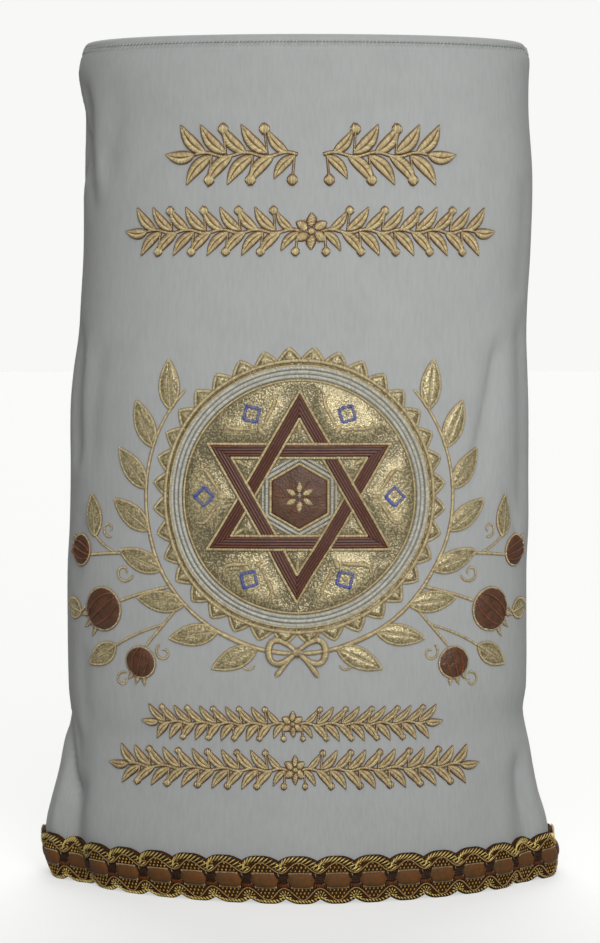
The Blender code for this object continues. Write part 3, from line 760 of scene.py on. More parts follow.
class MANTLE_OT_stage(bpy.types.Operator):
    """Pale floor, soft lights and the camera"""

    bl_idname = "mantle.stage"
    bl_label = "Stage"

    def execute(self, context):
        stage = sizes("mantle_stage")
        scene = context.scene
        lens = bpy.data.cameras.new("camera")
        lens.lens = CAMERA_LENS
        lens.sensor_width = 36
        camera = bpy.data.objects.new("camera", lens)
        camera.location = CAMERA_PLACE
        camera.rotation_euler = (math.pi / 2 - CAMERA_DOWN, 0, 0)
        scene.collection.objects.link(camera)
        scene.camera = camera
        scene.view_settings.view_transform = "Standard"
        floor = self.floor(stage)
        key = bpy.data.lights.new("key", "SPOT")
        key.energy = stage.key_power
        key.shadow_soft_size = KEY_SIZE
        key.spot_size = KEY_SPREAD
        key.spot_blend = 1.0
        for name, strength, softness, place in SUNS:
            lamp = bpy.data.lights.new(name, "SUN")
            lamp.energy = getattr(stage, strength)
            lamp.angle = softness
            self.hang(lamp, place, (0, 0, 0))
        self.hang(key, KEY_PLACE, KEY_AIM)
        world = bpy.data.worlds.new("white_room")
        scene.world = world
        world.use_nodes = True
        tree = world.node_tree
        tree.nodes.clear()
        seen = add_node(tree, "ShaderNodeLightPath").outputs["Is Camera Ray"]
        light = add_node(
            tree, "ShaderNodeBackground", {"Color": (1, 1, 1, 1), "Strength": stage.fill_strength}
        )
        backdrop = add_node(
            tree,
            "ShaderNodeBackground",
            {"Color": stage.floor_colour[:], "Strength": stage.backdrop_strength},
        )
        chosen = add_node(
            tree, "ShaderNodeMixShader", {}, {0: seen, 1: light.outputs[0], 2: backdrop.outputs[0]}
        )
        add_node(tree, "ShaderNodeOutputWorld", {}, {"Surface": chosen.outputs[0]})
        return {"FINISHED"}

    def hang(self, lamp, place, aim):
        """Put a lamp at a place, turned to what it lights."""
        holder = bpy.data.objects.new(lamp.name, lamp)
        holder.location = place
        holder.rotation_euler = (Vector(aim) - Vector(place)).to_track_quat("-Z", "Y").to_euler()
        holder.visible_camera = False
        bpy.context.scene.collection.objects.link(holder)

    def floor(self, stage):
        """Matt white paper that glows a little to the eye, as paper lit from below does, so no horizon
        shows."""
        material, tree, shader = new_material("matt_paper", 0.9)
        place = add_node(tree, "ShaderNodeTexCoord").outputs["Object"]
        paper = stage.floor_paper[:]
        tint = blend_colours(tree, noise_of(tree, place, 400.0), shaded(paper, 0.985), paper)
        tree.links.new(tint, shader.inputs["Base Color"])
        shader.inputs["Specular IOR Level"].default_value = 0.1
        seen = add_node(tree, "ShaderNodeLightPath").outputs["Is Camera Ray"]
        glow = add_node(tree, "ShaderNodeMath", {1: stage.floor_glow}, {0: seen}, operation="MULTIPLY")
        tree.links.new(glow.outputs[0], shader.inputs["Emission Strength"])
        shader.inputs["Emission Color"].default_value = stage.floor_colour[:]
        turns = 2 * np.pi * np.arange(FLOOR_SIDES) / FLOOR_SIDES
        rim = np.stack((np.cos(turns), np.sin(turns), np.zeros(FLOOR_SIDES)), axis=1) * FLOOR_RADIUS
        return add_piece("floor", rim, [list(range(FLOOR_SIDES))], [material])


def stitch_tree(name, segments, sides):
    """Geometry Nodes tree that lays one arched, tapering stitch on every point, along the point's run."""
    tree = bpy.data.node_groups.new(name, "GeometryNodeTree")
    face = tree.interface
    face.new_socket("Points", in_out="INPUT", socket_type="NodeSocketGeometry")
    for label, default in (("Arch", 0.9), ("Sink", 0.3), ("Taper", 0.45)):
        socket = face.new_socket(label, in_out="INPUT", socket_type="NodeSocketFloat")
        socket.default_value = default
    face.new_socket("Thread", in_out="INPUT", socket_type="NodeSocketMaterial")
    face.new_socket("Stitches", in_out="OUTPUT", socket_type="NodeSocketGeometry")
    given = add_node(tree, "NodeGroupInput").outputs
    line = add_node(tree, "GeometryNodeCurvePrimitiveLine", {"Start": (-0.5, 0, 0), "End": (0.5, 0, 0)})
    steps = add_node(tree, "GeometryNodeResampleCurve", {"Count": segments + 1}, {"Curve": line.outputs[0]})
    place = add_node(tree, "GeometryNodeInputPosition")
    parts = add_node(tree, "ShaderNodeSeparateXYZ", {}, {0: place.outputs[0]})
    square = add_node(
        tree, "ShaderNodeMath", {}, {0: parts.outputs[0], 1: parts.outputs[0]}, operation="MULTIPLY"
    )
    bow = add_node(
        tree, "ShaderNodeMath", {1: -4.0, 2: 1.0}, {0: square.outputs[0]}, operation="MULTIPLY_ADD"
    )
    raised = add_node(
        tree, "ShaderNodeMath", {}, {0: bow.outputs[0], 1: given["Arch"]}, operation="MULTIPLY"
    )
    lowered = add_node(
        tree, "ShaderNodeMath", {}, {0: raised.outputs[0], 1: given["Sink"]}, operation="SUBTRACT"
    )
    lift = add_node(tree, "ShaderNodeCombineXYZ", {}, {2: lowered.outputs[0]})
    arched = add_node(
        tree, "GeometryNodeSetPosition", {}, {"Geometry": steps.outputs[0], "Offset": lift.outputs[0]}
    )
    thin = add_node(tree, "ShaderNodeMath", {0: 1.0}, {1: given["Taper"]}, operation="SUBTRACT")
    width = add_node(
        tree,
        "ShaderNodeMath",
        {},
        {0: bow.outputs[0], 1: thin.outputs[0], 2: given["Taper"]},
        operation="MULTIPLY_ADD",
    )
    sized = add_node(
        tree, "GeometryNodeSetCurveRadius", {}, {"Curve": arched.outputs[0], "Radius": width.outputs[0]}
    )
    ring = add_node(
        tree, "GeometryNodeCurvePrimitiveCircle", {"Resolution": sides, "Radius": 0.5}, mode="RADIUS"
    )
    solid = add_node(
        tree,
        "GeometryNodeCurveToMesh",
        {"Fill Caps": True},
        {"Curve": sized.outputs[0], "Profile Curve": ring.outputs[0]},
    )
    if "Scale" in solid.inputs:
        tree.links.new(width.outputs[0], solid.inputs["Scale"])
    axes = add_node(tree, "ShaderNodeSeparateXYZ", {}, {0: place.outputs[0]})
    # rim marks a stitch's ends, where the thread's colour paints shade
    ends = add_node(
        tree, "ShaderNodeMath", {}, {0: axes.outputs[0], 1: axes.outputs[0]}, operation="MULTIPLY"
    )
    rim = add_node(tree, "ShaderNodeMath", {1: 4.0}, {0: ends.outputs[0]}, operation="MULTIPLY")
    marked = add_node(
        tree,
        "GeometryNodeStoreNamedAttribute",
        {"Name": "rim"},
        {"Geometry": solid.outputs[0], "Value": rim.outputs[0]},
        data_type="FLOAT",
        domain="POINT",
    )
    run = add_node(tree, "GeometryNodeInputNamedAttribute", {"Name": "run"}, data_type="FLOAT_VECTOR")
    out = add_node(tree, "GeometryNodeInputNamedAttribute", {"Name": "face"}, data_type="FLOAT_VECTOR")
    size = add_node(tree, "GeometryNodeInputNamedAttribute", {"Name": "size"}, data_type="FLOAT_VECTOR")
    along = add_node(tree, "FunctionNodeAlignRotationToVector", {}, {"Vector": run.outputs[0]}, axis="X")
    upright = add_node(
        tree,
        "FunctionNodeAlignRotationToVector",
        {},
        {"Rotation": along.outputs[0], "Vector": out.outputs[0]},
        axis="Z",
        pivot_axis="X",
    )
    sewn = add_node(
        tree,
        "GeometryNodeInstanceOnPoints",
        {},
        {
            "Points": given["Points"],
            "Instance": marked.outputs[0],
            "Rotation": upright.outputs[0],
            "Scale": size.outputs[0],
        },
    )
    real = add_node(tree, "GeometryNodeRealizeInstances", {}, {"Geometry": sewn.outputs[0]})
    smoothed = add_node(tree, "GeometryNodeSetShadeSmooth", {}, {0: real.outputs[0]})
    finished = add_node(
        tree, "GeometryNodeSetMaterial", {}, {"Geometry": smoothed.outputs[0], "Material": given["Thread"]}
    )
    add_node(tree, "NodeGroupOutput", {}, {0: finished.outputs[0]})
    return tree


class Stitches:
    """Stitches gathered for one piece: middle, run, outward direction, size and shade of each."""

    def __init__(self, seed, ground=on_cloth):
        self.rows = []
        self.ground = ground
        self.random = np.random.default_rng(seed)

    def add(self, start, end, lift, width, height=None, overlap=1.0, spread=0.28, shade=0.5):
        """Add stitches between two arrays of places on the cloth; sizes may be numbers or arrays."""
        start = np.asarray(start, float)
        end = np.asarray(end, float)
        first, _ = self.ground(start[:, 0], start[:, 1], lift)
        last, _ = self.ground(end[:, 0], end[:, 1], lift)
        middle_place = (start + end) / 2
        middle, out = self.ground(middle_place[:, 0], middle_place[:, 1], lift)
        self.add_points(middle, last - first, out, width, height, overlap, spread, shade)

    def add_points(self, middle, run, out, width, height=None, overlap=1.0, spread=0.28, shade=0.5):
        """Add stitches whose middles, runs and outward directions are given in space."""
        count = len(middle)
        width = np.broadcast_to(width, count)
        height = width if height is None else np.broadcast_to(height, count)
        length = np.linalg.norm(run, axis=1) * overlap
        size = np.stack((length, width * 1.08, height), axis=1)
        size *= 1 + 0.05 * self.random.standard_normal((count, 1))
        shades = np.clip(shade + spread * self.random.standard_normal(count), 0.0, 1.0)
        self.rows.append((middle, run, out, size, shades))

    def make(self, name, material, arch=0.9, sink=0.3, taper=0.45, segments=3, sides=3):
        """Sew all stitches into one plain mesh."""
        middle, run, out, size, shades = (
            np.concatenate([row[part] for row in self.rows]) for part in range(5)
        )
        mesh = bpy.data.meshes.new(name)
        mesh.from_pydata(middle.tolist(), [], [])
        for label, values in (("run", run), ("face", out), ("size", size)):
            layer = mesh.attributes.new(label, "FLOAT_VECTOR", "POINT")
            layer.data.foreach_set("vector", values.astype(np.float32).ravel())
        layer = mesh.attributes.new("shade", "FLOAT", "POINT")
        layer.data.foreach_set("value", shades.astype(np.float32))
        piece = bpy.data.objects.new(name, mesh)
        bpy.context.collection.objects.link(piece)
        tree = stitch_tree(name + "_stitches", segments, sides)
        modifier = piece.modifiers.new("stitches", "NODES")
        modifier.node_group = tree
        wanted = {"Arch": arch, "Sink": sink, "Taper": taper, "Thread": material}
        for item in tree.interface.items_tree:
            if item.in_out == "INPUT" and item.name in wanted:
                modifier[item.identifier] = wanted[item.name]
        graph = bpy.context.evaluated_depsgraph_get()
        finished = bpy.data.meshes.new_from_object(piece.evaluated_get(graph))
        piece.modifiers.clear()
        piece.data = finished
        for corner in finished.vertices:
            corner.co.z = max(corner.co.z, 0.0)
        for label in ("run", "face", "size"):
            if label in finished.attributes:
                finished.attributes.remove(finished.attributes[label])
        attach(piece, "root")
        return piece


def walk(path, pitch, closed=False):
    """Places at an even pitch along a path of places, the direction there, and the share of the way."""
    path = np.asarray(path, float)
    if closed:
        path = np.concatenate((path, path[:1]))
    runs = np.hypot(*np.diff(path, axis=0).T)
    travelled = np.concatenate(([0.0], np.cumsum(runs)))
    count = max(2, int(round(travelled[-1] / pitch)))
    at = np.linspace(0, travelled[-1], count + (0 if closed else 1), endpoint=not closed)
    places = np.stack([np.interp(at, travelled, path[:, axis]) for axis in (0, 1)], axis=1)
    little = travelled[-1] / count / 2
    ahead = np.stack([np.interp(at + little, travelled, path[:, axis]) for axis in (0, 1)], axis=1)
    behind = np.stack([np.interp(at - little, travelled, path[:, axis]) for axis in (0, 1)], axis=1)
    direction = ahead - behind
    if closed:
        direction[0] = (path[1] - path[0]) + (path[-1] - path[-2])
    direction /= np.maximum(np.hypot(*direction.T), 1e-9)[:, None]
    return places, direction, at / travelled[-1]


PADDING_STEP = 0.0034


class Padding:
    """Half round strips that fill out the stitches from below, gathered into one piece."""

    SHAPE = ((-0.5, 0.0), (-0.34, 0.62), (0.0, 1.0), (0.34, 0.62), (0.5, 0.0))

    def __init__(self, ground=on_cloth):
        self.ground = ground
        self.points = []
        self.faces = []
        self.count = 0

    def add(self, places, direction, widths, lift, rise, closed=False):
        """Add one strip along places; widths and rise may be numbers or arrays."""
        widths = np.broadcast_to(widths, len(places))
        rise = np.broadcast_to(rise, len(places))
        left = path_of(-direction[:, 1], direction[:, 0])
        shape = [(side, up) for side, up in self.SHAPE] + [(0.25, -0.02), (-0.25, -0.02)]
        loops = []
        for side, up in shape:
            spot = places + left * (side * widths)[:, None]
            points, _ = self.ground(spot[:, 0], spot[:, 1], lift + rise * up)
            loops.append(points)
        loops = np.stack(loops, axis=1)
        sides = len(shape)
        columns = len(places)
        last = columns if closed else columns - 1
        for column in range(last):
            here = self.count + column * sides
            following = self.count + (column + 1) % columns * sides
            for index in range(sides):
                after = (index + 1) % sides
                self.faces.append((here + index, here + after, following + after, following + index))
        if not closed:
            self.faces.append([self.count + index for index in range(sides)][::-1])
            self.faces.append([self.count + (columns - 1) * sides + index for index in range(sides)])
        self.points.append(loops.reshape(-1, 3))
        self.count += columns * sides

    def make(self, name, material):
        """Make all strips one piece."""
        piece = add_piece(name, np.concatenate(self.points), self.faces, [material])
        builder = bmesh.new()
        builder.from_mesh(piece.data)
        bmesh.ops.recalc_face_normals(builder, faces=builder.faces)
        builder.to_mesh(piece.data)
        builder.free()
        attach(piece, "root")
        return piece


def satin(
    stitches, padding, path, width, lift, thread_width, closed=False, slant=0.0, rise=None, ends=1.0,
    shade=0.5,
):
    """Satin band along a path: stitches laid across it over a padded strip; width may be a function of
    the way."""
    places, direction, way = walk(path, thread_width * 0.92, closed)
    widths = width(way) if callable(width) else np.full(len(places), float(width))
    if not closed:
        tips = np.minimum(1.0, np.minimum(way, 1 - way) * len(places) / 2.5 + 0.35)
        widths = widths * (1 - ends + ends * tips)
    turn = math.radians(90 + slant)
    cosine, sine = math.cos(turn), math.sin(turn)
    across = np.stack(
        (
            direction[:, 0] * cosine - direction[:, 1] * sine,
            direction[:, 0] * sine + direction[:, 1] * cosine,
        ), axis=1
    )
    half = across * (widths / 2 / abs(sine))[:, None]
    if rise is None:
        rise = 0.35 * widths ** 0.5 * 0.0316
    rises = np.broadcast_to(rise, len(places))
    heights = np.maximum(rises, thread_width * 0.7)
    level = lift(places) if callable(lift) else lift
    stitches.add(places - half, places + half, level, thread_width, heights, shade=shade)
    if padding is not None:
        base, run, share = walk(path, PADDING_STEP, closed)
        wide = np.interp(share, way, widths)
        under = lift(base) if callable(lift) else lift
        padding.add(base, run, wide * 0.86, under, np.interp(share, way, rises) * 0.8, closed)


# Braid round the hem: heights above the floor and sizes of one pitch
BRAID_SCALLOP = 0.0040
BRAID_FLAT = 0.2
BRAID_GROUND_LIFT = 0.0008
BRAID_SECTION = (
    # share of height, thickness
    (0.00, 0.0012),
    (0.05, 0.0022),
    (0.12, 0.0024),
    (0.26, 0.0020),
    (0.50, 0.0018),
    (0.74, 0.0020),
    (0.88, 0.0024),
    (0.95, 0.0022),
    (1.00, 0.0012),
)
RIBBON_HEIGHT = 0.0118
RIBBON_LENGTH = 0.68
BRAID_PHASE = 0.5
BRAID_TRIM_LIFT = 0.0030
ROPE_INSET = 0.0026
ROPE_RISE = 0.0030
ROPE_FALL = 0.0040
ROPE_WIDTH = 0.0041
ROPE_STRAND = 0.0014
ROPE_STEP = 0.0031
ROPE_LEAN = -50
TWIST_FOLLOW = 0.4
LOW_ROPE = 0.0022
LOW_STRAND = (-0.0012, 0.0011)
LOW_STRANDS = 11
FAN_RADII = ((0.0010, 0.0030), (0.0032, 0.0054))
FAN_STRANDS = (5, 8)
FAN_FROM = math.radians(-12)
FAN_INSET = 0.0072
FAN_LOW = 0.0060
CORD_NEAR = 0.0257
CORD_INSET = 0.0054
CORD_LOW = 0.0036
# width and thickness of single stitches of the braid
LOW_STRAND_SIZE = (0.0013, 0.0014)
CORD_SIZE = (0.0012, 0.0015)
SEED_SIZE = (0.0014, 0.0015)
SELVEDGE_SIZE = (0.0011, 0.0009)
FAN_WIDTH = 0.0011
KNOT_WIDTH = 0.0017
RUST_WIDTH = 0.0014
HATCH_WIDTH = 0.0007
SEED_ROWS = 3
SEED_HALF = (0.0003, 0.0009)
SEED_STEP = 0.0028
SEEDS = 9
SELVEDGE_HALF = (0.0002, 0.0010)
KNOT_STRANDS = (
    # from along, from up, to along, to up: over each gap, from the ribbon's middle
    (-0.0030, -0.0024, -0.0029, 0.0036),
    (-0.0015, -0.0026, -0.0014, 0.0038),
    (0.0000, -0.0026, 0.0000, 0.0038),
    (0.0015, -0.0026, 0.0014, 0.0038),
    (0.0030, -0.0024, 0.0029, 0.0036),
    (-0.0042, -0.0014, 0.0042, -0.0012),
    (-0.0042, 0.0006, 0.0042, 0.0008),
    (-0.0042, 0.0025, 0.0042, 0.0027),
)
RUST_STRANDS = (
    # from along, from up, to along, to up: the rust brown silk under each knot
    (-0.0044, -0.0058, -0.0036, -0.0022),
    (-0.0026, -0.0062, -0.0022, -0.0022),
    (-0.0009, -0.0064, -0.0008, -0.0022),
    (0.0009, -0.0064, 0.0008, -0.0022),
    (0.0026, -0.0062, 0.0022, -0.0022),
    (0.0044, -0.0058, 0.0036, -0.0022),
    (-0.0034, -0.0042, 0.0034, -0.0040),
)
HATCH_STRANDS = (
    # from along, from up, to along, to up
    (-0.0022, 0.0034, -0.0030, 0.0056),
    (0.0026, -0.0036, 0.0044, -0.0020),
)


def pitch_share(along, pitches):
    """Share of the braid's pitch at a place round the hem; a ribbon loop has its middle at a half."""
    pitch = HEM_GIRTH / pitches
    return (along / pitch + BRAID_PHASE) % 1.0


def scallop(share):
    """Depth of a scalloped edge across one pitch: 0 over its flat middle, 1 at its two ends."""
    away = np.abs(2 * share - 1)
    return (np.maximum(0.0, away - BRAID_FLAT) / (1 - BRAID_FLAT)) ** 2


def woven_ground(name, colour):
    """Dark cotton ground of the braid: ribbed across, threads drawn 1.1 mm apart so that they show."""
    material, tree, shader = new_material(name, 0.8)
    place = add_node(tree, "ShaderNodeTexCoord").outputs["Object"]
    ribs = add_node(
        tree,
        "ShaderNodeTexWave",
        {"Scale": 145.0, "Distortion": 2.0, "Detail": 2.0, "Detail Scale": 3.0},
        {"Vector": place},
        bands_direction="Z",
    ).outputs["Fac"]
    # colour follows the ribs' height: painted shade in the grooves between them
    body = blend_colours(tree, ribs, shaded(colour, 0.6), shaded(colour, 1.3))
    tree.links.new(body, shader.inputs["Base Color"])
    shader.inputs["Specular IOR Level"].default_value = 0.15
    add_bump(tree, shader, ribs, 0.0005, 0.6)
    return material


def ribbon_velvet(name, colour, painted_sheen_colour):
    """Rayon velvet ribbon: greyer at the left of each loop and warmer at its right, a painted sheen of the
    pile."""
    material, tree, shader = new_material(name, 0.7)
    place = add_node(tree, "ShaderNodeTexCoord").outputs["Object"]
    clouds = noise_of(tree, place, 4.0, 3.0)
    # way runs across each loop; with the noise it sets the painted sheen
    way = add_node(tree, "ShaderNodeAttribute", attribute_name="way").outputs["Fac"]
    lean = add_node(tree, "ShaderNodeMath", {1: 0.35}, {0: way, 2: clouds}, operation="MULTIPLY_ADD")
    share = add_node(tree, "ShaderNodeMapRange", {1: 0.48, 2: 0.92}, {0: lean.outputs[0]})
    body = blend_colours(tree, share.outputs[0], colour, painted_sheen_colour)
    tree.links.new(body, shader.inputs["Base Color"])
    shader.inputs["Sheen Weight"].default_value = 0.1
    shader.inputs["Sheen Roughness"].default_value = 0.4
    shader.inputs["Specular IOR Level"].default_value = 0.2
    add_bump(tree, shader, noise_of(tree, place, 0.9, 2.0), 0.0004, 0.6)
    return material


def rope_height(share, tall):
    """Height of the bright rope's middle: it rises steeply at the left of a loop and falls gently to
    its right."""
    rise = np.clip(1 - share / 0.16, 0, 1) ** 2
    fall = np.clip((share - 0.42) / 0.58, 0, 1.2) ** 1.5
    dip = scallop(np.clip(share, 0, 1)) * BRAID_SCALLOP
    return tall - ROPE_INSET - dip - ROPE_RISE * rise - ROPE_FALL * fall


def cord_height(share, tall, upper):
    """Height of a thin waving cord: by the ribbon at every gap, and far from it beside every loop."""
    near, far = (CORD_NEAR, tall - CORD_INSET) if upper else (2 * RIBBON_MIDDLE - CORD_NEAR, CORD_LOW)
    return near + (far - near) * (0.5 - 0.5 * np.cos(2 * math.pi * share))


def twist(stitches, core, path, width, strand, step, lean, lift):
    """Twisted cord along a path: leaning bright strands over a dark core that shows between them."""
    places, direction, _ = walk(path, step)
    turn = np.arctan2(direction[:, 1] * TWIST_FOLLOW, direction[:, 0]) + math.radians(90 + lean)
    half = path_of(np.cos(turn), np.sin(turn)) * width / 2 / math.sin(math.radians(90 + lean))
    stitches.add(places - half, places + half, lift + 0.0004, strand, width * 0.42, spread=0.22, shade=0.6)
    spots, run, _ = walk(path, PADDING_STEP)
    core.add(spots, run, width * 0.9, lift - 0.0006, width * 0.36)


class MANTLE_OT_braid(bpy.types.Operator):
    """Weave the braid and sew it round the hem"""

    bl_idname = "mantle.braid"
    bl_label = "Hem Braid"

    def execute(self, context):
        braid = sizes("mantle_braid")
        pitches = braid.pitches
        pitch = HEM_GIRTH / pitches
        tall = braid.braid_height
        # the ground follows both scalloped edges
        columns = pitches * 16
        along = (np.arange(columns) / columns - 0.5) * HEM_GIRTH
        edge = scallop(pitch_share(along, pitches)) * BRAID_SCALLOP
        outer = []
        inner = []
        for share, thick in BRAID_SECTION:
            height = edge + (tall - 2 * edge) * share
            outer.append(on_hem(along, height, BRAID_GROUND_LIFT + thick)[0])
            inner.append(on_hem(along, height, 0.0002)[0])
        outer = np.stack(outer, axis=1)
        inner = np.stack(inner, axis=1)
        outer[..., 2] = np.maximum(outer[..., 2], 0.0)
        inner[..., 2] = np.maximum(inner[..., 2], 0.0)
        ground = sheet_piece(
            "braid_ground", outer, inner, [woven_ground("woven_ground", braid.ground_colour[:])], closed=True
        )
        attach(ground, "root")
        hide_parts("hem_braid")
        # one ribbon runs round, puffed over each loop and drawn in at each knot
        columns = pitches * 20
        along = (np.arange(columns) / columns - 0.5) * HEM_GIRTH
        share = pitch_share(along, pitches)
        away = np.abs(2 * share - 1) / RIBBON_LENGTH
        loop = np.clip(1 - away ** 6, 0.0, 1.0)
        half = (0.24 + 0.76 * loop ** 0.35) * RIBBON_HEIGHT / 2
        outer = []
        inner = []
        for side in np.linspace(-1, 1, 11):
            dome = (1 - abs(side) ** 3.0) * 0.0016
            seat = 0.0012 + (dome + 0.0007) * (0.15 + 0.85 * loop)
            outer.append(on_hem(along, RIBBON_MIDDLE + half * side, BRAID_GROUND_LIFT + 0.0016 + seat)[0])
            inner.append(on_hem(along, RIBBON_MIDDLE + half * side, BRAID_GROUND_LIFT + 0.0012)[0])
        ribbon = sheet_piece(
            "velvet_ribbon",
            np.stack(outer, axis=1),
            np.stack(inner, axis=1),
            [ribbon_velvet("ribbon_velvet", braid.ribbon_colour[:], braid.ribbon_painted_sheen_colour[:])],
            closed=True,
        )
        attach(ribbon, "root")
        paint(ribbon, "way", np.repeat(share[:, None], 11, axis=1))
        self.trim(braid, pitches, pitch, tall)
        return {"FINISHED"}

    def trim(self, braid, pitches, pitch, tall):
        """Ropes, cords, fans, seeds, selvedges and knots on the ground."""
        bright, cord, seeds, edges, knots, rust, hatch = (Stitches(seed, on_hem) for seed in range(11, 18))
        core = Padding(on_hem)
        gaps = (np.arange(pitches) - pitches // 2 - BRAID_PHASE) * pitch
        share = np.linspace(0.01, 1.08, 40)
        for gap in gaps:
            # bright rope over every loop, and a fan of smaller ones above and below every gap
            top = path_of(gap + share * pitch, rope_height(share, tall))
            twist(bright, core, top, ROPE_WIDTH, ROPE_STRAND, ROPE_STEP, ROPE_LEAN, BRAID_TRIM_LIFT + 0.0006)
            for base, sign in ((tall - FAN_INSET, -1), (FAN_LOW, 1)):
                for (inner, outer), strands in zip(FAN_RADII, FAN_STRANDS):
                    turns = np.linspace(FAN_FROM, math.pi - FAN_FROM, strands) + 0.1
                    rays = path_of(np.cos(turns), sign * np.sin(turns))
                    bright.add(
                        (gap, base) + rays * inner, (gap, base) + rays * outer, BRAID_TRIM_LIFT, FAN_WIDTH,
                        spread=0.4,
                    )
        count = pitches * LOW_STRANDS
        spot = (np.arange(count) / count - 0.5) * HEM_GIRTH
        low = path_of(spot, LOW_ROPE + scallop(pitch_share(spot, pitches)) * BRAID_SCALLOP)
        bright.add(
            low - LOW_STRAND, low + LOW_STRAND, BRAID_TRIM_LIFT, *LOW_STRAND_SIZE, spread=0.3, shade=0.6
        )
        # thin waving cords on both sides of the ribbon
        count = pitches * 24
        half_step = HEM_GIRTH / count * 0.62
        spot = (np.arange(count) / count - 0.5) * HEM_GIRTH
        for upper in (True, False):
            start, end = spot - half_step, spot + half_step
            start = path_of(start, cord_height(pitch_share(start, pitches), tall, upper))
            end = path_of(end, cord_height(pitch_share(end, pitches), tall, upper))
            cord.add(start, end, BRAID_TRIM_LIFT + 0.0005, *CORD_SIZE, spread=0.1, shade=0.6)
            # rows of seeds between cord and ribbon
            sign = 1 if upper else -1
            for row in range(SEED_ROWS):
                count_seeds = pitches * SEEDS
                places = ((np.arange(count_seeds) + 0.5 * (row % 2)) / count_seeds - 0.5) * HEM_GIRTH
                level = RIBBON_MIDDLE + sign * (RIBBON_HEIGHT / 2 + 0.0018 + row * SEED_STEP)
                where = pitch_share(places, pitches)
                keep = sign * (cord_height(where, tall, upper) - level) > 0.0012
                middle = path_of(places[keep], np.full(keep.sum(), level))
                seeds.add(
                    middle - SEED_HALF, middle + SEED_HALF, BRAID_TRIM_LIFT - 0.0002, *SEED_SIZE, shade=0.6
                )
        # selvedge: short ribs along both sides of every loop of ribbon
        count = pitches * 26
        spot = ((np.arange(count) + 0.5) / count - 0.5) * HEM_GIRTH
        spot = spot[np.abs(2 * pitch_share(spot, pitches) - 1) < RIBBON_LENGTH * 0.94]
        for side in (-1, 1):
            middle = path_of(spot, np.full(len(spot), RIBBON_MIDDLE + side * (RIBBON_HEIGHT / 2 - 0.0004)))
            edges.add(
                middle - SELVEDGE_HALF, middle + SELVEDGE_HALF, BRAID_TRIM_LIFT + 0.0010, *SELVEDGE_SIZE,
                spread=0.2,
            )
        # brown silk over the ribbon in every gap, crossed, with a few pale threads above it
        for stitches, table, thick in (
            (knots, KNOT_STRANDS, KNOT_WIDTH), (rust, RUST_STRANDS, RUST_WIDTH), (
                hatch, HATCH_STRANDS, HATCH_WIDTH
            )
        ):
            for from_along, from_up, to_along, to_up in table:
                start = path_of(gaps + from_along, np.full(pitches, RIBBON_MIDDLE + from_up))
                end = path_of(gaps + to_along, np.full(pitches, RIBBON_MIDDLE + to_up))
                stitches.add(start, end, BRAID_TRIM_LIFT + 0.0006, thick, thick, spread=0.2)
        finishes = (
            # stitches, name, colour, metallic, spread of shades, specular level
            (bright, "bright_strands", braid.rope_colour, 0.3, 0.35, 0.5),
            (cord, "waving_cord", braid.cord_colour, 0.0, 0.2, 0.4),
            (seeds, "seed_stitches", braid.seed_colour, 0.25, 0.4, 0.5),
            (edges, "ribbon_selvedge", braid.selvedge_colour, 0.0, 0.25, 0.3),
            (knots, "silk_knots", braid.knot_colour, 0.0, 0.3, 0.15),
            (rust, "rust_silk", braid.rust_colour, 0.0, 0.3, 0.15),
            (hatch, "knot_threads", braid.selvedge_colour, 0.0, 0.2, 0.3),
        )
        for stitches, name, colour, metallic, spread, specular in finishes:
            material = thread(name + "_thread", colour[:], 0.42, metallic, spread, specular=specular)
            piece = stitches.make("braid_" + name, material, arch=0.35, sink=0.1, taper=0.55)
        under = core.make("braid_rope_cores", thread("core_yarn", braid.knot_colour[:], 0.7, specular=0.15))


# Padded work on the front, as its solids have it
PATCH_LIFT = 0.0004
PATCH = 0.0014
MEDALLION_HEIGHT = 0.338
MEDALLION_RADIUS = 0.112
PETAL_LENGTH = 0.012
PETALS = 36
CIRCLE_STEPS = 400
WHITE_LINES = (-0.0036, 0.0, 0.0036)
RING_INNER = 0.0985
RING_OUTER = 0.1090
STAR_RADIUS = 0.088
STAR_BAND = 0.0115
CENTRE_RADIUS = 0.0290
COPPER_LINES = 5
FIELD_RINGS = 46
FIELD_SLOPE = 0.011
FIELD_PUFF = 0.0022
FIELD_BASE = 0.0013
CENTRE_CLEAR = 0.0345
SQUARE_REACH = 0.0080


def around(radius, turn):
    """Places at a radius from the medallion's middle; turns start at the top and go to the right."""
    turn = np.asarray(turn, float)
    return np.stack((radius * np.sin(turn), MEDALLION_HEIGHT + radius * np.cos(turn)), axis=-1)


def circle_path(radius):
    """Circle round the medallion's middle."""
    return around(np.full(CIRCLE_STEPS, radius), np.linspace(0, 2 * math.pi, CIRCLE_STEPS))


def swelling(way, thin, more):
    """Width of a line of satin that is thin at both ends and swells between them."""
    return thin + more * np.sin(math.pi * way)


def star_clearance(along, height):
    """Distance from a place to the nearest edge of the star's bands."""
    nearest = np.full(np.shape(along), 1.0)
    half = STAR_RADIUS * math.sqrt(3) / 2
    for band in range(6):
        turn = math.pi / 3 * band
        up = height - MEDALLION_HEIGHT
        out = along * math.sin(turn) + up * math.cos(turn) - STAR_RADIUS / 2 + STAR_BAND / 2
        run = np.abs(along * math.cos(turn) - up * math.sin(turn))
        nearest = np.minimum(nearest, np.hypot(out, np.maximum(run - half, 0)) - STAR_BAND / 2)
    return np.maximum(nearest, 0)


def crumple(along, height, size, seed):
    """Uneven puffing of stuffed leather, from -1 to 1."""
    random = np.random.default_rng(seed)
    total = np.zeros(np.broadcast(along, height).shape)
    for _ in range(14):
        turn = random.uniform(0, math.pi)
        rate = 2 * math.pi / (size * random.uniform(0.6, 1.6))
        phase = random.uniform(0, 2 * math.pi)
        total += np.sin((along * math.cos(turn) + height * math.sin(turn)) * rate + phase)
    return np.clip(total / 5, -1.0, 1.0)


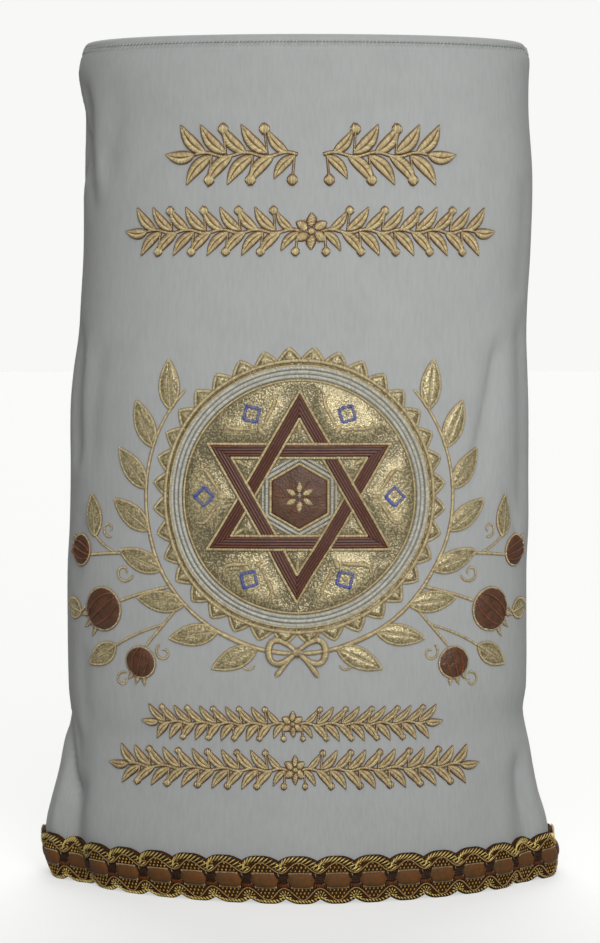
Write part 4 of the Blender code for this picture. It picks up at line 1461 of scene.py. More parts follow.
def field_lift(along, height):
    """Lift of the field's face: stuffed between the star, the ring and the middle, and sewn down along
    all three."""
    radius = np.hypot(along, height - MEDALLION_HEIGHT)
    turn = np.arctan2(along, height - MEDALLION_HEIGHT) % (2 * math.pi)
    clear = np.minimum(star_clearance(along, height), np.maximum(RING_INNER - radius, radius - RING_OUTER))
    clear = np.minimum(clear, np.maximum(radius - CENTRE_CLEAR, 0))
    puff = smooth(clear / FIELD_SLOPE) * (0.72 + 0.28 * crumple(along, height, 0.034, 4))
    edge = smooth((petal_radius(turn) - radius) / 0.005)
    return PATCH_LIFT + (FIELD_BASE - PATCH_LIFT) * edge + FIELD_PUFF * puff * edge


def sewn_patch(name, along, height, lifts, base, materials, closed=False):
    """Stuffed patch from a grid of places with the lift of its face; its back lies on the cloth."""
    outer = on_cloth(along, height, lifts)[0]
    inner = on_cloth(along, height, base)[0]
    piece = sheet_piece(name, outer, inner, materials, closed)
    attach(piece, "root")
    return piece


def close_middle(field, columns, rows):
    """Close the two small holes that a round grid leaves at its middle."""
    builder = bmesh.new()
    builder.from_mesh(field.data)
    builder.verts.ensure_lookup_table()
    total = columns * rows
    rings = [[builder.verts[start + column * rows] for column in range(columns)] for start in (0, total)]
    sides = [face for face in builder.faces if all(corner.index % rows == 0 for corner in face.verts)]
    bmesh.ops.delete(builder, geom=sides, context="FACES_ONLY")
    builder.faces.new(rings[0][::-1])
    builder.faces.new(rings[1])
    bmesh.ops.recalc_face_normals(builder, faces=builder.faces)
    builder.to_mesh(field.data)
    builder.free()


def petal_radius(turn):
    """Edge of the field at a turn, with its pointed petals."""
    share = (turn / (2 * math.pi) * PETALS) % 1.0
    return MEDALLION_RADIUS + PETAL_LENGTH * (1 - np.abs(2 * share - 1)) ** 0.7


def ribbed_band(name, dark, light):
    """Rayon braid stitched lengthwise: dark silk with thin raised copper lines along it."""
    material, tree, shader = new_material(name, 0.5)
    across = add_node(tree, "ShaderNodeAttribute", attribute_name="across").outputs["Fac"]
    turns = add_node(
        tree, "ShaderNodeMath", {1: math.pi * 2 * COPPER_LINES}, {0: across}, operation="MULTIPLY"
    )
    wave = add_node(tree, "ShaderNodeMath", {}, {0: turns.outputs[0]}, operation="COSINE")
    place = add_node(tree, "ShaderNodeTexCoord").outputs["Object"]
    frayed = add_node(
        tree, "ShaderNodeMath", {1: 1.6}, {0: noise_of(tree, place, 2.2), 2: wave.outputs[0]},
        operation="MULTIPLY_ADD",
    )
    line = add_node(tree, "ShaderNodeMapRange", {1: 1.2, 2: 2.1}, {0: frayed.outputs[0]})
    body = blend_colours(tree, line.outputs[0], dark, light)
    tree.links.new(body, shader.inputs["Base Color"])
    shader.inputs["Sheen Weight"].default_value = 0.06
    add_bump(tree, shader, wave.outputs[0], 0.0003, 0.6)
    return material


class MANTLE_OT_medallion(bpy.types.Operator):
    """Sew the round field, its ring, the six-pointed star and the middle"""

    bl_idname = "mantle.medallion"
    bl_label = "Medallion"

    def execute(self, context):
        work = sizes("mantle_work")
        width = work.thread_width
        leatherette = foil_leatherette("foil_leatherette", work.leatherette_colour[:])
        brown = pebbled_leather(
            "pebbled_leather", work.brown_leather_colour[:], shaded(work.brown_leather_colour[:], 1.2)
        )
        ribbed = ribbed_band("ribbed_silk", work.burgundy_colour[:], work.copper_colour[:])
        turns = 2 * math.pi * np.arange(PETALS * 8)[:, None] / (PETALS * 8)
        share = np.linspace(0.015, 1, FIELD_RINGS)[None, :] ** 0.8
        radius = petal_radius(turns) * share
        place = around(radius, turns)
        along, height = place[..., 0], place[..., 1]
        lifts = field_lift(along, height)
        field = sewn_patch("medallion_leatherette", along, height, lifts, 0.0001, [leatherette], closed=True)
        # puff sets the leatherette's painted highlight on crests and painted shade in low parts
        paint(field, "puff", (lifts - FIELD_BASE) / FIELD_PUFF)
        close_middle(field, len(turns), FIELD_RINGS)
        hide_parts("medallion_field")
        gold = Stitches(21)
        white = Stitches(22)
        blue = Stitches(23)
        copper = Stitches(24)
        padding = Padding()
        # satin edge of every petal
        fine = np.linspace(0, 2 * math.pi, PETALS * 24, endpoint=False)
        satin(gold, padding, around(petal_radius(fine) - 0.0006, fine), 0.0030, PATCH_LIFT, width, True, 12)
        satin(
            gold, padding, circle_path(MEDALLION_RADIUS + 0.0012), 0.0030, PATCH + PATCH_LIFT, width, True, 20
        )
        # rays of gold over the ring of petals
        for petal in range(PETALS):
            turn = 2 * math.pi * (petal + 0.5) / PETALS
            ray = around(
                np.linspace(MEDALLION_RADIUS + 0.003, MEDALLION_RADIUS + PETAL_LENGTH * 0.8, 12), turn
            )
            satin(
                gold, None, ray, lambda way: 0.0034 * (1 - way) ** 0.7 + 0.0006, PATCH + 0.0004, width, False,
                25,
            )
        # ring of white satin between two gold edges
        ring = (RING_INNER + RING_OUTER) / 2
        for offset in WHITE_LINES:
            circle = circle_path(ring + offset)
            satin(white, padding, circle, 0.0032, PATCH + PATCH_LIFT, width, True, 30 if offset else -30)
        for radius in (RING_INNER - 0.0016, RING_OUTER + 0.0001):
            circle = circle_path(radius)
            satin(gold, padding, circle, 0.0020, PATCH + PATCH_LIFT, width, True)
        self.star(work, ribbed, gold)
        self.middle(work, brown, gold, white, copper, padding)
        self.small_work(work, gold, blue, padding)
        # gold satin, with painted shade towards each stitch's ends
        gold_thread = thread(
            "gold_satin", work.gold_thread_colour[:], 0.38, 0.2, 0.3, work.gold_painted_shade_colour[:]
        )
        finishes = (
            (gold, "medallion_gold_satin", gold_thread, "gold_leather"),
            (
                white, "medallion_white_satin",
                thread("white_satin", work.white_thread_colour[:], 0.34, 0.1, 0.25), "gold_leather",
            ),
            (
                blue, "medallion_blue_satin", thread("blue_satin", work.blue_thread_colour[:], 0.4, 0.0, 0.3),
                "burgundy_thread",
            ),
            (
                copper, "medallion_copper_lines",
                thread("copper_thread", work.copper_colour[:], 0.4, 0.2, 0.3), "burgundy_thread",
            ),
        )
        for stitches, name, material, slot in finishes:
            piece = stitches.make(name, material)
        under = padding.make(
            "medallion_padding", thread("padding_yarn", shaded(work.gold_thread_colour[:], 0.5), 0.7)
        )
        return {"FINISHED"}

    def star(self, work, ribbed, gold):
        """Two interlaced triangles of ribbed silk; each of their six bands passes over one and under
        the next."""
        side = STAR_RADIUS * math.sqrt(3)
        reach = STAR_RADIUS / 2 - STAR_BAND / 2
        points = []
        faces = []
        across_values = []
        columns, rows = 90, 9
        for band in range(6):
            turn = math.pi / 3 * band
            outward = np.array((math.sin(turn), math.cos(turn)))
            forward = np.array((math.cos(turn), -math.sin(turn)))
            side_share = np.linspace(-0.5, 0.5, rows)[None, :]
            out = reach + side_share * STAR_BAND
            half = side / 2 - (STAR_RADIUS / 2 - out) * math.sqrt(3)
            run = np.linspace(-1, 1, columns)[:, None] * half
            along = outward[0] * out + forward[0] * run
            height = MEDALLION_HEIGHT + outward[1] * out + forward[1] * run
            cross = side / 6
            over = np.exp(-((run - cross) / 0.011) ** 2) - np.exp(-((run + cross) / 0.011) ** 2)
            crown = 1 - np.abs(2 * side_share) ** 3
            seat = PATCH_LIFT + PATCH + 0.0006 + 0.0007 * over
            outer = on_cloth(along, height, seat + 0.0009 * crown + 0.0002)[0]
            inner = on_cloth(along, height, seat - 0.0005 + 0 * crown)[0]
            start = len(points) and sum(len(part) for part in points)
            count = columns * rows
            points += [outer.reshape(-1, 3), inner.reshape(-1, 3)]
            faces += grid_faces(columns, rows, False, start)
            faces += [face[::-1] for face in grid_faces(columns, rows, False, start + count)]
            for column in range(columns - 1):
                low = start + column * rows
                high = low + rows - 1
                faces.append((low + rows, low, low + count, low + rows + count))
                faces.append((high, high + rows, high + rows + count, high + count))
            for row in range(rows - 1):
                first = start + row
                last = start + (columns - 1) * rows + row
                faces.append((first, first + 1, first + 1 + count, first + count))
                faces.append((last + 1, last, last + count, last + 1 + count))
            values = np.broadcast_to(side_share + 0.5, (columns, rows)).ravel()
            across_values += [values, values]
            for edge in (0, -1):
                spot = path_of(along[:, edge], height[:, edge])
                places, direction, way = walk(spot, work.thread_width * 0.92)
                lift = np.interp(way, np.linspace(0, 1, columns), seat[:, 0] if seat.ndim == 2 else seat)
                cut = path_of(-direction[:, 1], direction[:, 0]) * 0.0013
                gold.add(places - cut, places + cut, lift + 0.0004, work.thread_width, 0.0013, shade=0.62)
        piece = add_piece(
            "star_ribbed_silk", np.concatenate(points), faces, [ribbed], None, {
                "across": np.concatenate(across_values)
            }
        )
        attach(piece, "root")
        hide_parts("star_band")

    def middle(self, work, brown, gold, white, copper, padding):
        """Brown hexagon in nested lines of satin, with a small gold flower."""
        width = work.thread_width
        lift = PATCH_LIFT + PATCH + 0.0004
        turns = np.linspace(0, 2 * math.pi, 96, endpoint=False)[:, None]
        corner = math.cos(math.pi / 6)
        within = ((turns + math.pi / 6) % (math.pi / 3)) - math.pi / 6
        reach = (CENTRE_RADIUS * corner - 0.002) / np.cos(within)
        share = np.linspace(0.02, 1, 14)[None, :]
        place = around(reach * share, turns + math.pi / 6)
        along, height = place[..., 0], place[..., 1]
        dome = 0.0012 * (1 - share ** 4) * (1 + 0.3 * crumple(along, height, 0.014, 9))
        patch = sewn_patch("middle_leather", along, height, lift + 0.0004 + dome, lift, [brown], closed=True)
        close_middle(patch, 96, 14)
        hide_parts("centre_patch")
        for radius, stitches, wide in (
            (CENTRE_RADIUS - 0.0012, gold, 0.0024),
            (CENTRE_RADIUS + 0.0024, white, 0.0028),
            (CENTRE_RADIUS + 0.0062, white, 0.0022),
        ):
            corners = around(np.full(7, radius), np.arange(7) * math.pi / 3 + math.pi / 3)
            satin(stitches, padding, corners, wide, lift, width, False, 0, None, 0.0)
        for petal in range(6):
            turn = petal * math.pi / 3
            ray = around(np.linspace(0.0035, 0.0125, 14), turn)
            satin(
                gold, padding, ray, lambda way: 0.0008 + 0.0048 * np.sin(math.pi * way ** 0.8), lift + 0.0016,
                width, False, 15, 0.0008,
            )
            small = around(np.linspace(0.0050, 0.0150, 10), turn + math.pi / 6)
            satin(copper, None, small, 0.0014, lift + 0.0014, width * 0.8)
        satin(
            white, padding, around(np.linspace(0, 0.0026, 6), 0.0), 0.0040, lift + 0.0016, width, False, 0,
            0.0010,
        )

    def small_work(self, work, gold, blue, padding):
        """Blue edged squares and curled gold sprigs between the star's points."""
        width = work.thread_width

        def lift(places):
            return field_lift(places[:, 0], places[:, 1]) + 0.0002

        for point in range(6):
            turn = math.pi / 3 * point + math.pi / 6
            heart = around(0.0795, turn)
            angles = turn + np.arange(5) * math.pi / 2
            corners = heart + SQUARE_REACH * path_of(np.sin(angles), np.cos(angles))
            satin(blue, padding, corners, 0.0026, lift, width, False, 0, 0.0009, 0.0)
            bead = np.stack((heart - (0.0016, 0), heart + (0.0016, 0)))
            satin(gold, padding, bead, 0.0034, lift, width, False, 0, 0.0010)
            for sign in (-1, 1):
                sweep = np.linspace(0, 1, 30)
                radius = 0.0660 + 0.0230 * sweep ** 0.8
                side = turn + sign * (0.07 + 0.20 * np.sin(sweep * 2.2))
                satin(
                    gold, padding, around(radius, side), lambda way: swelling(way, 0.0012, 0.0022), lift,
                    width, False, 20,
                )
            sprig = around(np.linspace(0.0600, 0.0690, 12), turn)
            satin(gold, padding, sprig, lambda way: swelling(way, 0.0010, 0.0034), lift, width, False, 15)
            # a leaf of gold in each point of the star
            tip = around(np.linspace(0.052, 0.066, 12), turn + math.pi / 6)
            satin(gold, padding, tip, lambda way: swelling(way, 0.0008, 0.0032), lift, width, False, 15)


# Branches, as their solids have them
LEAF_WIDTH = 0.0180
LEAF_LENGTH = 0.042
WREATH_RADIUS = 0.131
WREATH_LEAVES = 8
WREATH_FIRST = math.radians(-75)
WREATH_STEP = math.radians(15.5)
WREATH_SPLAY = math.radians(40)
CROWN = 0.45
CROWN_LEANS = (-24, 0, 24)
FRUIT_RIBS = (-0.55, 0.0, 0.55)
FRUIT_PUFF = 0.0026
LEAF_PUFF = 0.0015
BOW_REACH = 0.024
BOW_RISE = 0.010
BOW_HEIGHT = 0.2085
BERRY_REACH = 0.0075

# Each row is a fruit on the right: place, radius and the way its crown points; the left has its mirror
FRUITS = (
    # along, height, radius, crown degrees
    (0.170, 0.240, 0.0185, -40),
    (0.134, 0.197, 0.0135, -75),
    (0.199, 0.288, 0.0135, 15),
)

# Each row is a side leaf on the right: place of its foot, the way it points, and its length
SIDE_LEAVES = (
    # along, height, degrees, length
    (0.157, 0.210, -32, 0.034),
    (0.196, 0.235, 12, 0.026),
    (0.181, 0.301, 82, 0.036),
)

# Stems on the right, each drawn through its places, with its width
STEMS = (
    (((0.034, 0.2115), (0.052, 0.2180), (0.070, 0.2270)), 0.0030),
    (((0.106, 0.2620), (0.132, 0.2560), (0.152, 0.2480)), 0.0026),
    (((0.096, 0.2490), (0.114, 0.2280), (0.129, 0.2110)), 0.0024),
    (((0.121, 0.2880), (0.150, 0.2900), (0.185, 0.2850)), 0.0024),
    (((0.113, 0.2295), (0.136, 0.2230), (0.158, 0.2090)), 0.0020),
    (((0.186, 0.2430), (0.192, 0.2390), (0.197, 0.2350)), 0.0020),
    (((0.160, 0.2890), (0.172, 0.2930), (0.181, 0.3020)), 0.0020),
)

# Curled tendrils on the right: middle, radius, first and last turn in degrees, and width at its thick end
TENDRILS = (
    # along, height, radius, first, last, width
    (0.1490, 0.2720, 0.0085, 190, 560, 0.0024),
    (0.1130, 0.2060, 0.0075, 60, -290, 0.0022),
    (0.1660, 0.3080, 0.0070, 250, 590, 0.0020),
    (0.1510, 0.1810, 0.0070, 120, -220, 0.0020),
    (0.0420, 0.1990, 0.0065, 200, 520, 0.0020),
)


def leaf_half(share, width):
    """Half width of a leaf at a share of its length."""
    return width / 2 * np.sin(math.pi * np.clip(share, 0, 1) ** 0.85) ** 0.8


class MANTLE_OT_branches(bpy.types.Operator):
    """Sew the wreath, the side sprays and the fruits"""

    bl_idname = "mantle.branches"
    bl_label = "Leaves and Fruits"

    def execute(self, context):
        work = sizes("mantle_work")
        width = work.thread_width
        leatherette = bpy.data.materials["foil_leatherette"]
        brown = bpy.data.materials["pebbled_leather"]
        gold = Stitches(31)
        stems = Stitches(32)
        copper = Stitches(33)
        padding = Padding()
        for side, sign in (("right", 1), ("left", -1)):
            leaves = []
            for leaf in range(WREATH_LEAVES):
                turn = WREATH_FIRST + leaf * WREATH_STEP
                foot = (WREATH_RADIUS * math.cos(turn), MEDALLION_HEIGHT + WREATH_RADIUS * math.sin(turn))
                angle = turn + math.pi / 2 - WREATH_SPLAY
                leaves.append(("wreath_leaf_%s_%d" % (side, leaf + 1), foot, angle, LEAF_LENGTH))
            for index, (along, height, degrees, length) in enumerate(SIDE_LEAVES):
                leaves.append(
                    ("side_leaf_%s_%d" % (side, index + 1), (along, height), math.radians(degrees), length)
                )
            for name, foot, angle, length in leaves:
                self.leaf(name, foot, angle, length, sign, leatherette, gold, padding, width)
            for index, fruit in enumerate(FRUITS):
                self.fruit(
                    "fruit_%s_%d" % (side, index + 1), fruit, sign, brown, gold, copper, padding, width
                )
            self.stems(sign, stems, padding, width)
        # bow where the two branches cross
        for sign in (1, -1):
            sweep = np.linspace(0, 1, 40)
            loop = np.stack(
                (
                    sign * BOW_REACH * np.sin(math.pi * sweep),
                    BOW_HEIGHT + BOW_RISE * np.sin(2 * math.pi * sweep),
                ), axis=1
            )
            satin(
                stems, padding, loop, lambda way: 0.0030 + 0.0022 * np.sin(math.pi * way), 0.0012, width,
                False, 25,
            )
            tail = path_of(sign * (0.002 + 0.016 * sweep), 0.2050 - 0.017 * sweep ** 1.3)
            satin(stems, padding, tail, lambda way: 0.0024 + 0.0026 * way, 0.0010, width, False, 25)
        knot = np.array(((-0.0035, 0.2080), (0.0035, 0.2080)))
        satin(stems, padding, knot, 0.0075, 0.0020, width, False, 0, 0.0018)
        gold_thread = bpy.data.materials["gold_satin"]
        for stitches, name, material, slot in (
            (gold, "branch_gold_satin", gold_thread, "gold_leather"),
            (stems, "stem_gold_satin", gold_thread, "gold_leather"),
            (copper, "fruit_copper_lines", bpy.data.materials["copper_thread"], "burgundy_thread"),
        ):
            piece = stitches.make(name, material)
        under = padding.make("branch_padding", bpy.data.materials["padding_yarn"])
        return {"FINISHED"}

    def leaf(self, name, foot, angle, length, sign, leather, gold, padding, width):
        """Stuffed leaf with a sunk middle vein and a satin edge."""
        share = np.linspace(0.004, 0.996, 26)[:, None]
        side = np.linspace(-1, 1, 13)[None, :]
        half = leaf_half(share, LEAF_WIDTH) - 0.0004
        run = share * length
        along = sign * (foot[0] + run * math.cos(angle) - half * side * math.sin(angle))
        height = foot[1] + run * math.sin(angle) + half * side * math.cos(angle)
        if sign < 0:
            along, height = along[:, ::-1], height[:, ::-1]
        dome = (1 - np.abs(side) ** 2.5) * np.sin(math.pi * share) ** 0.5
        vein = 0.55 * np.exp(-(side / 0.14) ** 2)
        rough = 0.12 * crumple(along, height, 0.010, 7)
        lifts = PATCH_LIFT + 0.0003 + LEAF_PUFF * np.clip(dome * (1 - vein) + rough * dome, 0, 1.2)
        along, height, lifts = (grid[:, ::-1] for grid in (along, height, lifts))
        piece = sewn_patch(name + "_leatherette", along, height, lifts, 0.0001, [leather])
        # puff sets the leatherette's painted highlight on crests and painted shade at the vein and edges
        paint(piece, "puff", np.clip(dome * (1 - vein), 0, 1)[:, ::-1])
        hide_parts(name)
        way = np.linspace(0.01, 0.99, 30)
        for edge in (1, -1):
            rim = leaf_half(way, LEAF_WIDTH) - 0.0008
            x = foot[0] + way * length * math.cos(angle) - edge * rim * math.sin(angle)
            y = foot[1] + way * length * math.sin(angle) + edge * rim * math.cos(angle)
            path = path_of(sign * x, y)
            satin(gold, padding, path, 0.0024, PATCH_LIFT + 0.0003, width, False, 18 * edge * sign, None, 0.6)
        vein_path = np.stack(
            (
                sign * (foot[0] + way * length * 0.8 * math.cos(angle)),
                foot[1] + way * length * 0.8 * math.sin(angle),
            ),
            axis=1,
        )
        satin(
            gold, None, vein_path, lambda part: 0.0019 * (1 - part) + 0.0006, PATCH_LIFT + 0.0008,
            width * 0.85,
        )

    def fruit(self, name, fruit, sign, leather, gold, copper, padding, width):
        """Stuffed round fruit with a three-pointed crown."""
        along_middle, height_middle, radius, degrees = fruit
        angle = math.radians(degrees)
        turns = np.linspace(0, 2 * math.pi, 72, endpoint=False)[:, None]
        share = np.linspace(0.03, 1, 14)[None, :]
        reach = (radius - 0.0006) * share
        along = sign * (along_middle + reach * np.sin(turns))
        height = height_middle + reach * np.cos(turns)
        if sign < 0:
            along, height = along[::-1], height[::-1]
        dome = np.sqrt(np.clip(1 - (share * 0.97) ** 2, 0, 1)) * (1 + 0.12 * crumple(along, height, 0.009, 5))
        lifts = PATCH_LIFT + 0.0003 + FRUIT_PUFF * dome
        piece = sewn_patch(name + "_leather", along, height, lifts, 0.0001, [leather], closed=True)
        close_middle(piece, 72, 14)
        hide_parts(name)
        rim = (radius - 0.0009) * np.concatenate((np.sin(turns), np.cos(turns)), axis=1)
        circle = (np.array((along_middle, height_middle)) + rim) * (sign, 1)
        satin(gold, padding, circle, 0.0026, PATCH_LIFT + 0.0004, width, True, 15)
        # ribs from the crown round the fruit
        for rib in FRUIT_RIBS:
            sweep = np.linspace(-0.82, 0.82, 24)
            bow = rib * np.sqrt(1 - sweep ** 2) * radius * 0.9
            x = along_middle + radius * sweep * math.cos(angle) - bow * math.sin(angle)
            y = height_middle + radius * sweep * math.sin(angle) + bow * math.cos(angle)
            level = PATCH_LIFT + FRUIT_PUFF * np.sqrt(
                np.clip(1 - sweep ** 2 - (rib * 0.9) ** 2 * (1 - sweep ** 2), 0.05, 1)
            )
            path = path_of(sign * x, y)
            places, direction, way = walk(path, width * 1.8)
            lift = np.interp(way, np.linspace(0, 1, 24), level)
            copper.add(places - direction * width, places + direction * width, lift + 0.0002, width, width)
        for lean in CROWN_LEANS:
            turn = angle + math.radians(lean)
            ray = np.linspace(0.96, 1 + CROWN, 10)
            base = np.array((along_middle, height_middle))
            tip = base + radius * ray[:, None] * np.array((math.cos(turn), math.sin(turn)))
            tip[:, 0] *= sign
            satin(
                gold, padding, tip, lambda way: 0.0052 * (1 - way) ** 0.8 + 0.0008, PATCH_LIFT, width, False,
                10, 0.0012,
            )

    def stems(self, sign, stems, padding, width):
        """Stem under the wreath, twigs to its leaves and fruits, and tendrils."""
        last = WREATH_FIRST + (WREATH_LEAVES - 1) * WREATH_STEP + 0.16
        turns = np.linspace(WREATH_FIRST - 0.22, last, 90)
        arc = path_of(sign * WREATH_RADIUS * np.cos(turns), MEDALLION_HEIGHT + WREATH_RADIUS * np.sin(turns))
        satin(stems, padding, arc, lambda way: 0.0036 - 0.0016 * way, 0.0004, width, False, 28 * sign)
        for places, wide in STEMS:
            places = np.array(places) * (sign, 1)
            share = np.linspace(0, 1, 20)[:, None]
            curve = (
                (1 - share) ** 2 * places[0] + 2 * share * (1 - share) * places[1] + share ** 2 * places[2]
            )
            satin(stems, padding, curve, wide, 0.0003, width, False, 28 * sign)
        for along, height, radius, first, final, wide in TENDRILS:
            sweep = np.linspace(0, 1, 50)
            turn = np.radians(first + (final - first) * sweep)
            reach = radius * (1 - 0.72 * sweep)
            curl = path_of(sign * (along + reach * np.cos(turn)), height + reach * np.sin(turn))
            satin(
                stems, padding, curl, lambda way: wide * (1 - 0.35 * way), 0.0003, width * 0.9, False,
                20 * sign,
            )
        # berries where the leaves leave the stem
        for leaf in range(WREATH_LEAVES - 1):
            turn = WREATH_FIRST + (leaf + 0.45) * WREATH_STEP
            reach = WREATH_RADIUS + BERRY_REACH
            heart = np.array((sign * reach * math.cos(turn), MEDALLION_HEIGHT + reach * math.sin(turn)))
            berry = np.stack((heart - (0.0022, 0), heart + (0.0022, 0)))
            satin(
                stems, padding, berry, lambda way: 0.0042 * np.sqrt(np.clip(1 - (2 * way - 1) ** 2, 0.1, 1)),
                0.0005, width, False, 0, 0.0015,
            )


# Rows of leaves: each line is one spray of a row, from its foot to its tip
ORNAMENT_SPRAYS = (
    # row, low, high, foot, tip, pairs of leaves
    (1, 0.5950, 0.6470, -0.0090, -0.1240, 5),
    (1, 0.5950, 0.6470, 0.0130, 0.1290, 5),
    (2, 0.5370, 0.5790, -0.0060, -0.1620, 9),
    (2, 0.5370, 0.5790, 0.0120, 0.1680, 9),
    (3, 0.1330, 0.1630, -0.0110, -0.1360, 10),
    (3, 0.1330, 0.1630, 0.0030, 0.1280, 10),
    (4, 0.0930, 0.1270, -0.0120, -0.1660, 11),
    (4, 0.0930, 0.1270, 0.0050, 0.1590, 11),
)
ROW_LIFT = 0.0009
SPRAY_ANGLE = math.radians(47)
SPRAY_LEAF = 0.62
SPRAY_WIDTH = 0.20
ROSETTE_PETALS = 6


class MANTLE_OT_rows(bpy.types.Operator):
    """Embroider the four rows of laurel sprays"""

    bl_idname = "mantle.rows"
    bl_label = "Ornament Rows"

    def execute(self, context):
        work = sizes("mantle_work")
        self.width = work.thread_width
        # darker yarn laid as a painted shadow round the rows' satin
        edge = thread("edge_yarn", work.gold_painted_shade_colour[:], 0.7)
        for row in sorted({spray[0] for spray in ORNAMENT_SPRAYS}):
            self.gold = Stitches(40 + row)
            self.padding = Padding()
            sprays = [spray for spray in ORNAMENT_SPRAYS if spray[0] == row]
            for _, low, high, foot, tip, pairs in sprays:
                self.spray((low + high) / 2, high - low, foot, tip, pairs)
            if row > 1:
                _, low, high, first, _, _ = sprays[0]
                self.rosette((first + sprays[1][3]) / 2, (low + high) / 2, high - low)
            piece = self.gold.make("row_%d_gold_satin" % row, bpy.data.materials["gold_satin"])
            under = self.padding.make("row_%d_padding" % row, edge)
        return {"FINISHED"}

    def sew(self, places, wide, slant, rise=None, under=0.0012):
        """Satin line with a strip of darker yarn round it, a painted shadow."""
        satin(self.gold, None, places, wide, ROW_LIFT, self.width, False, slant, rise)
        if under:
            spots, direction, way = walk(places, 0.0022)
            widths = wide(way) if callable(wide) else np.full(len(spots), wide)
            self.padding.add(spots, direction, widths + under, 0.0002, 0.0013)

    def leaf(self, foot, angle, length, wide, onward):
        """Pointed leaf of two halves whose stitches meet along its middle."""
        way = np.linspace(0.0, 1.0, 30)
        half = wide / 2 * np.sin(math.pi * way ** 0.8) ** 0.9
        bend = 0.10 * length * np.sin(math.pi * way)
        upward = math.copysign(1, math.sin(angle))
        run = np.array((onward * math.cos(angle), math.sin(angle)))
        left = np.array((-run[1], run[0]))
        middle = np.array(foot) + np.outer(way * length, run) + np.outer(bend * onward * upward, left) * -1
        for side in (-1, 1):
            path = middle + np.outer(half / 2 * side, left)
            self.sew(path, lambda part: np.interp(part, way, half) + 0.0003, -32 * side, None, 0.0)
        # a strip of darker yarn round the whole leaf, a painted shadow
        spots, direction, part = walk(middle, 0.0020)
        self.padding.add(spots, direction, 2 * np.interp(part, way, half) + 0.0013, 0.0002, 0.0013)

    def spray(self, middle, tall, foot, tip, pairs):
        """A waving stem with pairs of leaves and small berries, ending in one leaf."""
        onward = math.copysign(1, tip - foot)
        length = SPRAY_LEAF * tall
        end = tip - onward * length * 0.8
        share = np.linspace(0, 1, pairs * 12)
        wave = 0.035 * tall * np.sin(share * pairs * math.pi)
        self.sew(path_of(foot + (end - foot) * share, middle + wave), 0.0022, 24)
        for pair in range(pairs):
            along = foot + (end - foot) * (pair + 0.15) / pairs
            gap = (end - foot) / pairs
            for sign in (-1, 1):
                start = (along + (0.30 * gap if sign > 0 else 0), middle + sign * 0.02 * tall)
                size = 1.0 if pair else 0.8
                self.leaf(start, sign * SPRAY_ANGLE, length * size, SPRAY_WIDTH * tall * size, onward)
                berry = (start[0] + 0.12 * gap, middle + sign * 0.40 * tall)
                twig = path_of(np.linspace(start[0], berry[0], 8), np.linspace(middle, berry[1], 8))
                if pair % 2 == (sign > 0):
                    self.sew(twig, 0.0012, 20)
                    self.berry(berry, 0.085 * tall)
        self.leaf((end, middle), 0.02, length * 0.8, SPRAY_WIDTH * tall, onward)

    def berry(self, heart, radius):
        """Small round berry."""
        heart = np.array(heart)
        line = np.stack((heart - (radius, 0), heart + (radius, 0)))
        self.sew(
            line, lambda way: 2 * radius * np.sqrt(np.clip(1 - (2 * way - 1) ** 2, 0.12, 1)), 0.0, 0.0016
        )

    def rosette(self, along, middle, tall):
        """Small flower in the middle of a row."""
        for petal in range(ROSETTE_PETALS):
            turn = 2 * math.pi * petal / ROSETTE_PETALS
            out = np.linspace(0.08, 0.36, 12)[:, None] * tall * np.array((math.sin(turn), math.cos(turn)))
            self.sew(out + (along, middle), lambda way: swelling(way ** 0.8, 0.0010, 0.17 * tall), 15.0)
        self.berry((along, middle), 0.075 * tall)


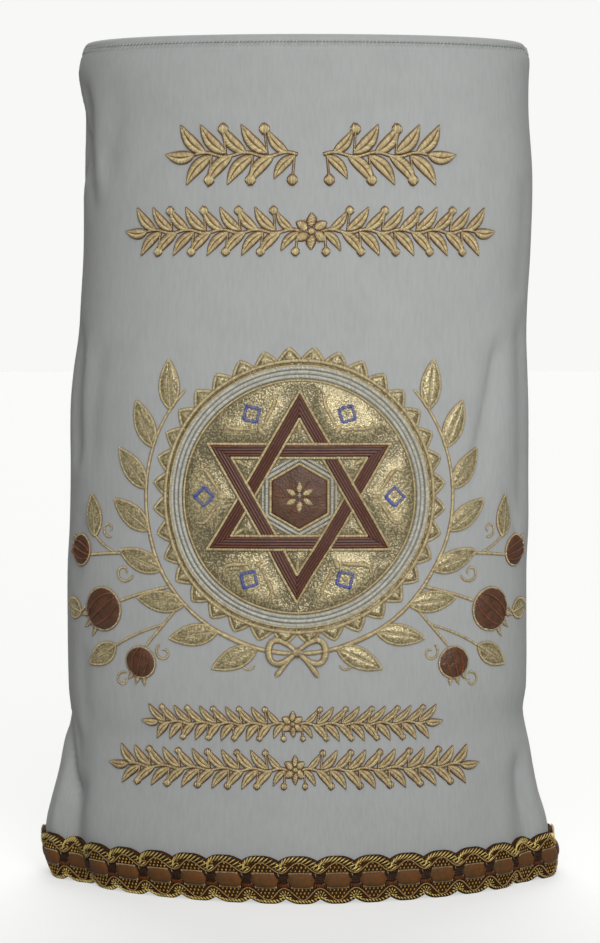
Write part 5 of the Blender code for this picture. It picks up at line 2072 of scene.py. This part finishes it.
class MANTLE_OT_seams(bpy.types.Operator):
    """Whip the top to the panels and close the two side seams"""

    bl_idname = "mantle.seams"
    bl_label = "Seams"

    def execute(self, context):
        cloth = sizes("mantle_cloth")
        seam = Stitches(51)
        pitch = 0.0033
        along = np.arange(-HALF_GIRTH, HALF_GIRTH, pitch)
        # slanted stitches from the panels over the edge of the top
        low, out = on_cloth(along - 0.0011, 0.7098, 0.0001)
        high, _ = on_cloth(along + 0.0014, 0.7150, 0.0003)
        seam.add_points((low + high) / 2, high - low, out, 0.0008, 0.0008, overlap=1.05, spread=0.25)
        piece = seam.make(
            "top_whip_stitches", thread("seam_thread", cloth.seam_thread_colour[:], 0.6, 0.0, 0.2), arch=0.5
        )
        closing = Stitches(52)
        height = np.arange(0.046, 0.700, 0.0048)
        for side in (-SIDE_ALONG, SIDE_ALONG):
            start = path_of(np.full(len(height), side - 0.0010), height)
            end = path_of(np.full(len(height), side + 0.0010), height + 0.0006)
            closing.add(start, end, -0.0009, 0.0006, 0.0006, spread=0.2)
        piece = closing.make("side_seam_stitches", bpy.data.materials["seam_thread"], arch=0.3)
        return {"FINISHED"}


class MANTLE_PT_panel(bpy.types.Panel):
    """Steps and sizes of the mantle"""

    bl_idname = "MANTLE_PT_panel"
    bl_label = "Torah Mantle"
    bl_space_type = "VIEW_3D"
    bl_region_type = "UI"
    bl_category = "Mantle"

    def draw(self, context):
        for step in STEPS:
            self.layout.operator(step.bl_idname)
        for name, group in GROUPS.items():
            box = self.layout.box()
            box.label(text=group.__doc__)
            for key in group.__annotations__:
                box.prop(sizes(name), key)


GROUPS = {
    "mantle_cloth": MantleCloth,
    "mantle_work": MantleWork,
    "mantle_braid": MantleBraid,
    "mantle_stage": MantleStage,
}
STEPS = (
    MANTLE_OT_stage,
    MANTLE_OT_panels,
    MANTLE_OT_top,
    MANTLE_OT_braid,
    MANTLE_OT_medallion,
    MANTLE_OT_branches,
    MANTLE_OT_rows,
    MANTLE_OT_seams,
)


def register():
    for group in GROUPS.values():
        bpy.utils.register_class(group)
    for name, group in GROUPS.items():
        setattr(bpy.types.Scene, name, PointerProperty(type=group))
    for step in STEPS:
        bpy.utils.register_class(step)
    bpy.utils.register_class(MANTLE_PT_panel)


def unregister():
    bpy.utils.unregister_class(MANTLE_PT_panel)
    for step in reversed(STEPS):
        bpy.utils.unregister_class(step)
    for name, group in GROUPS.items():
        delattr(bpy.types.Scene, name)
        bpy.utils.unregister_class(group)


def main():
    register()
    for step in STEPS:
        group, label = step.bl_idname.split(".")
        getattr(getattr(bpy.ops, group), label)()


if __name__ == "__main__":
    main()
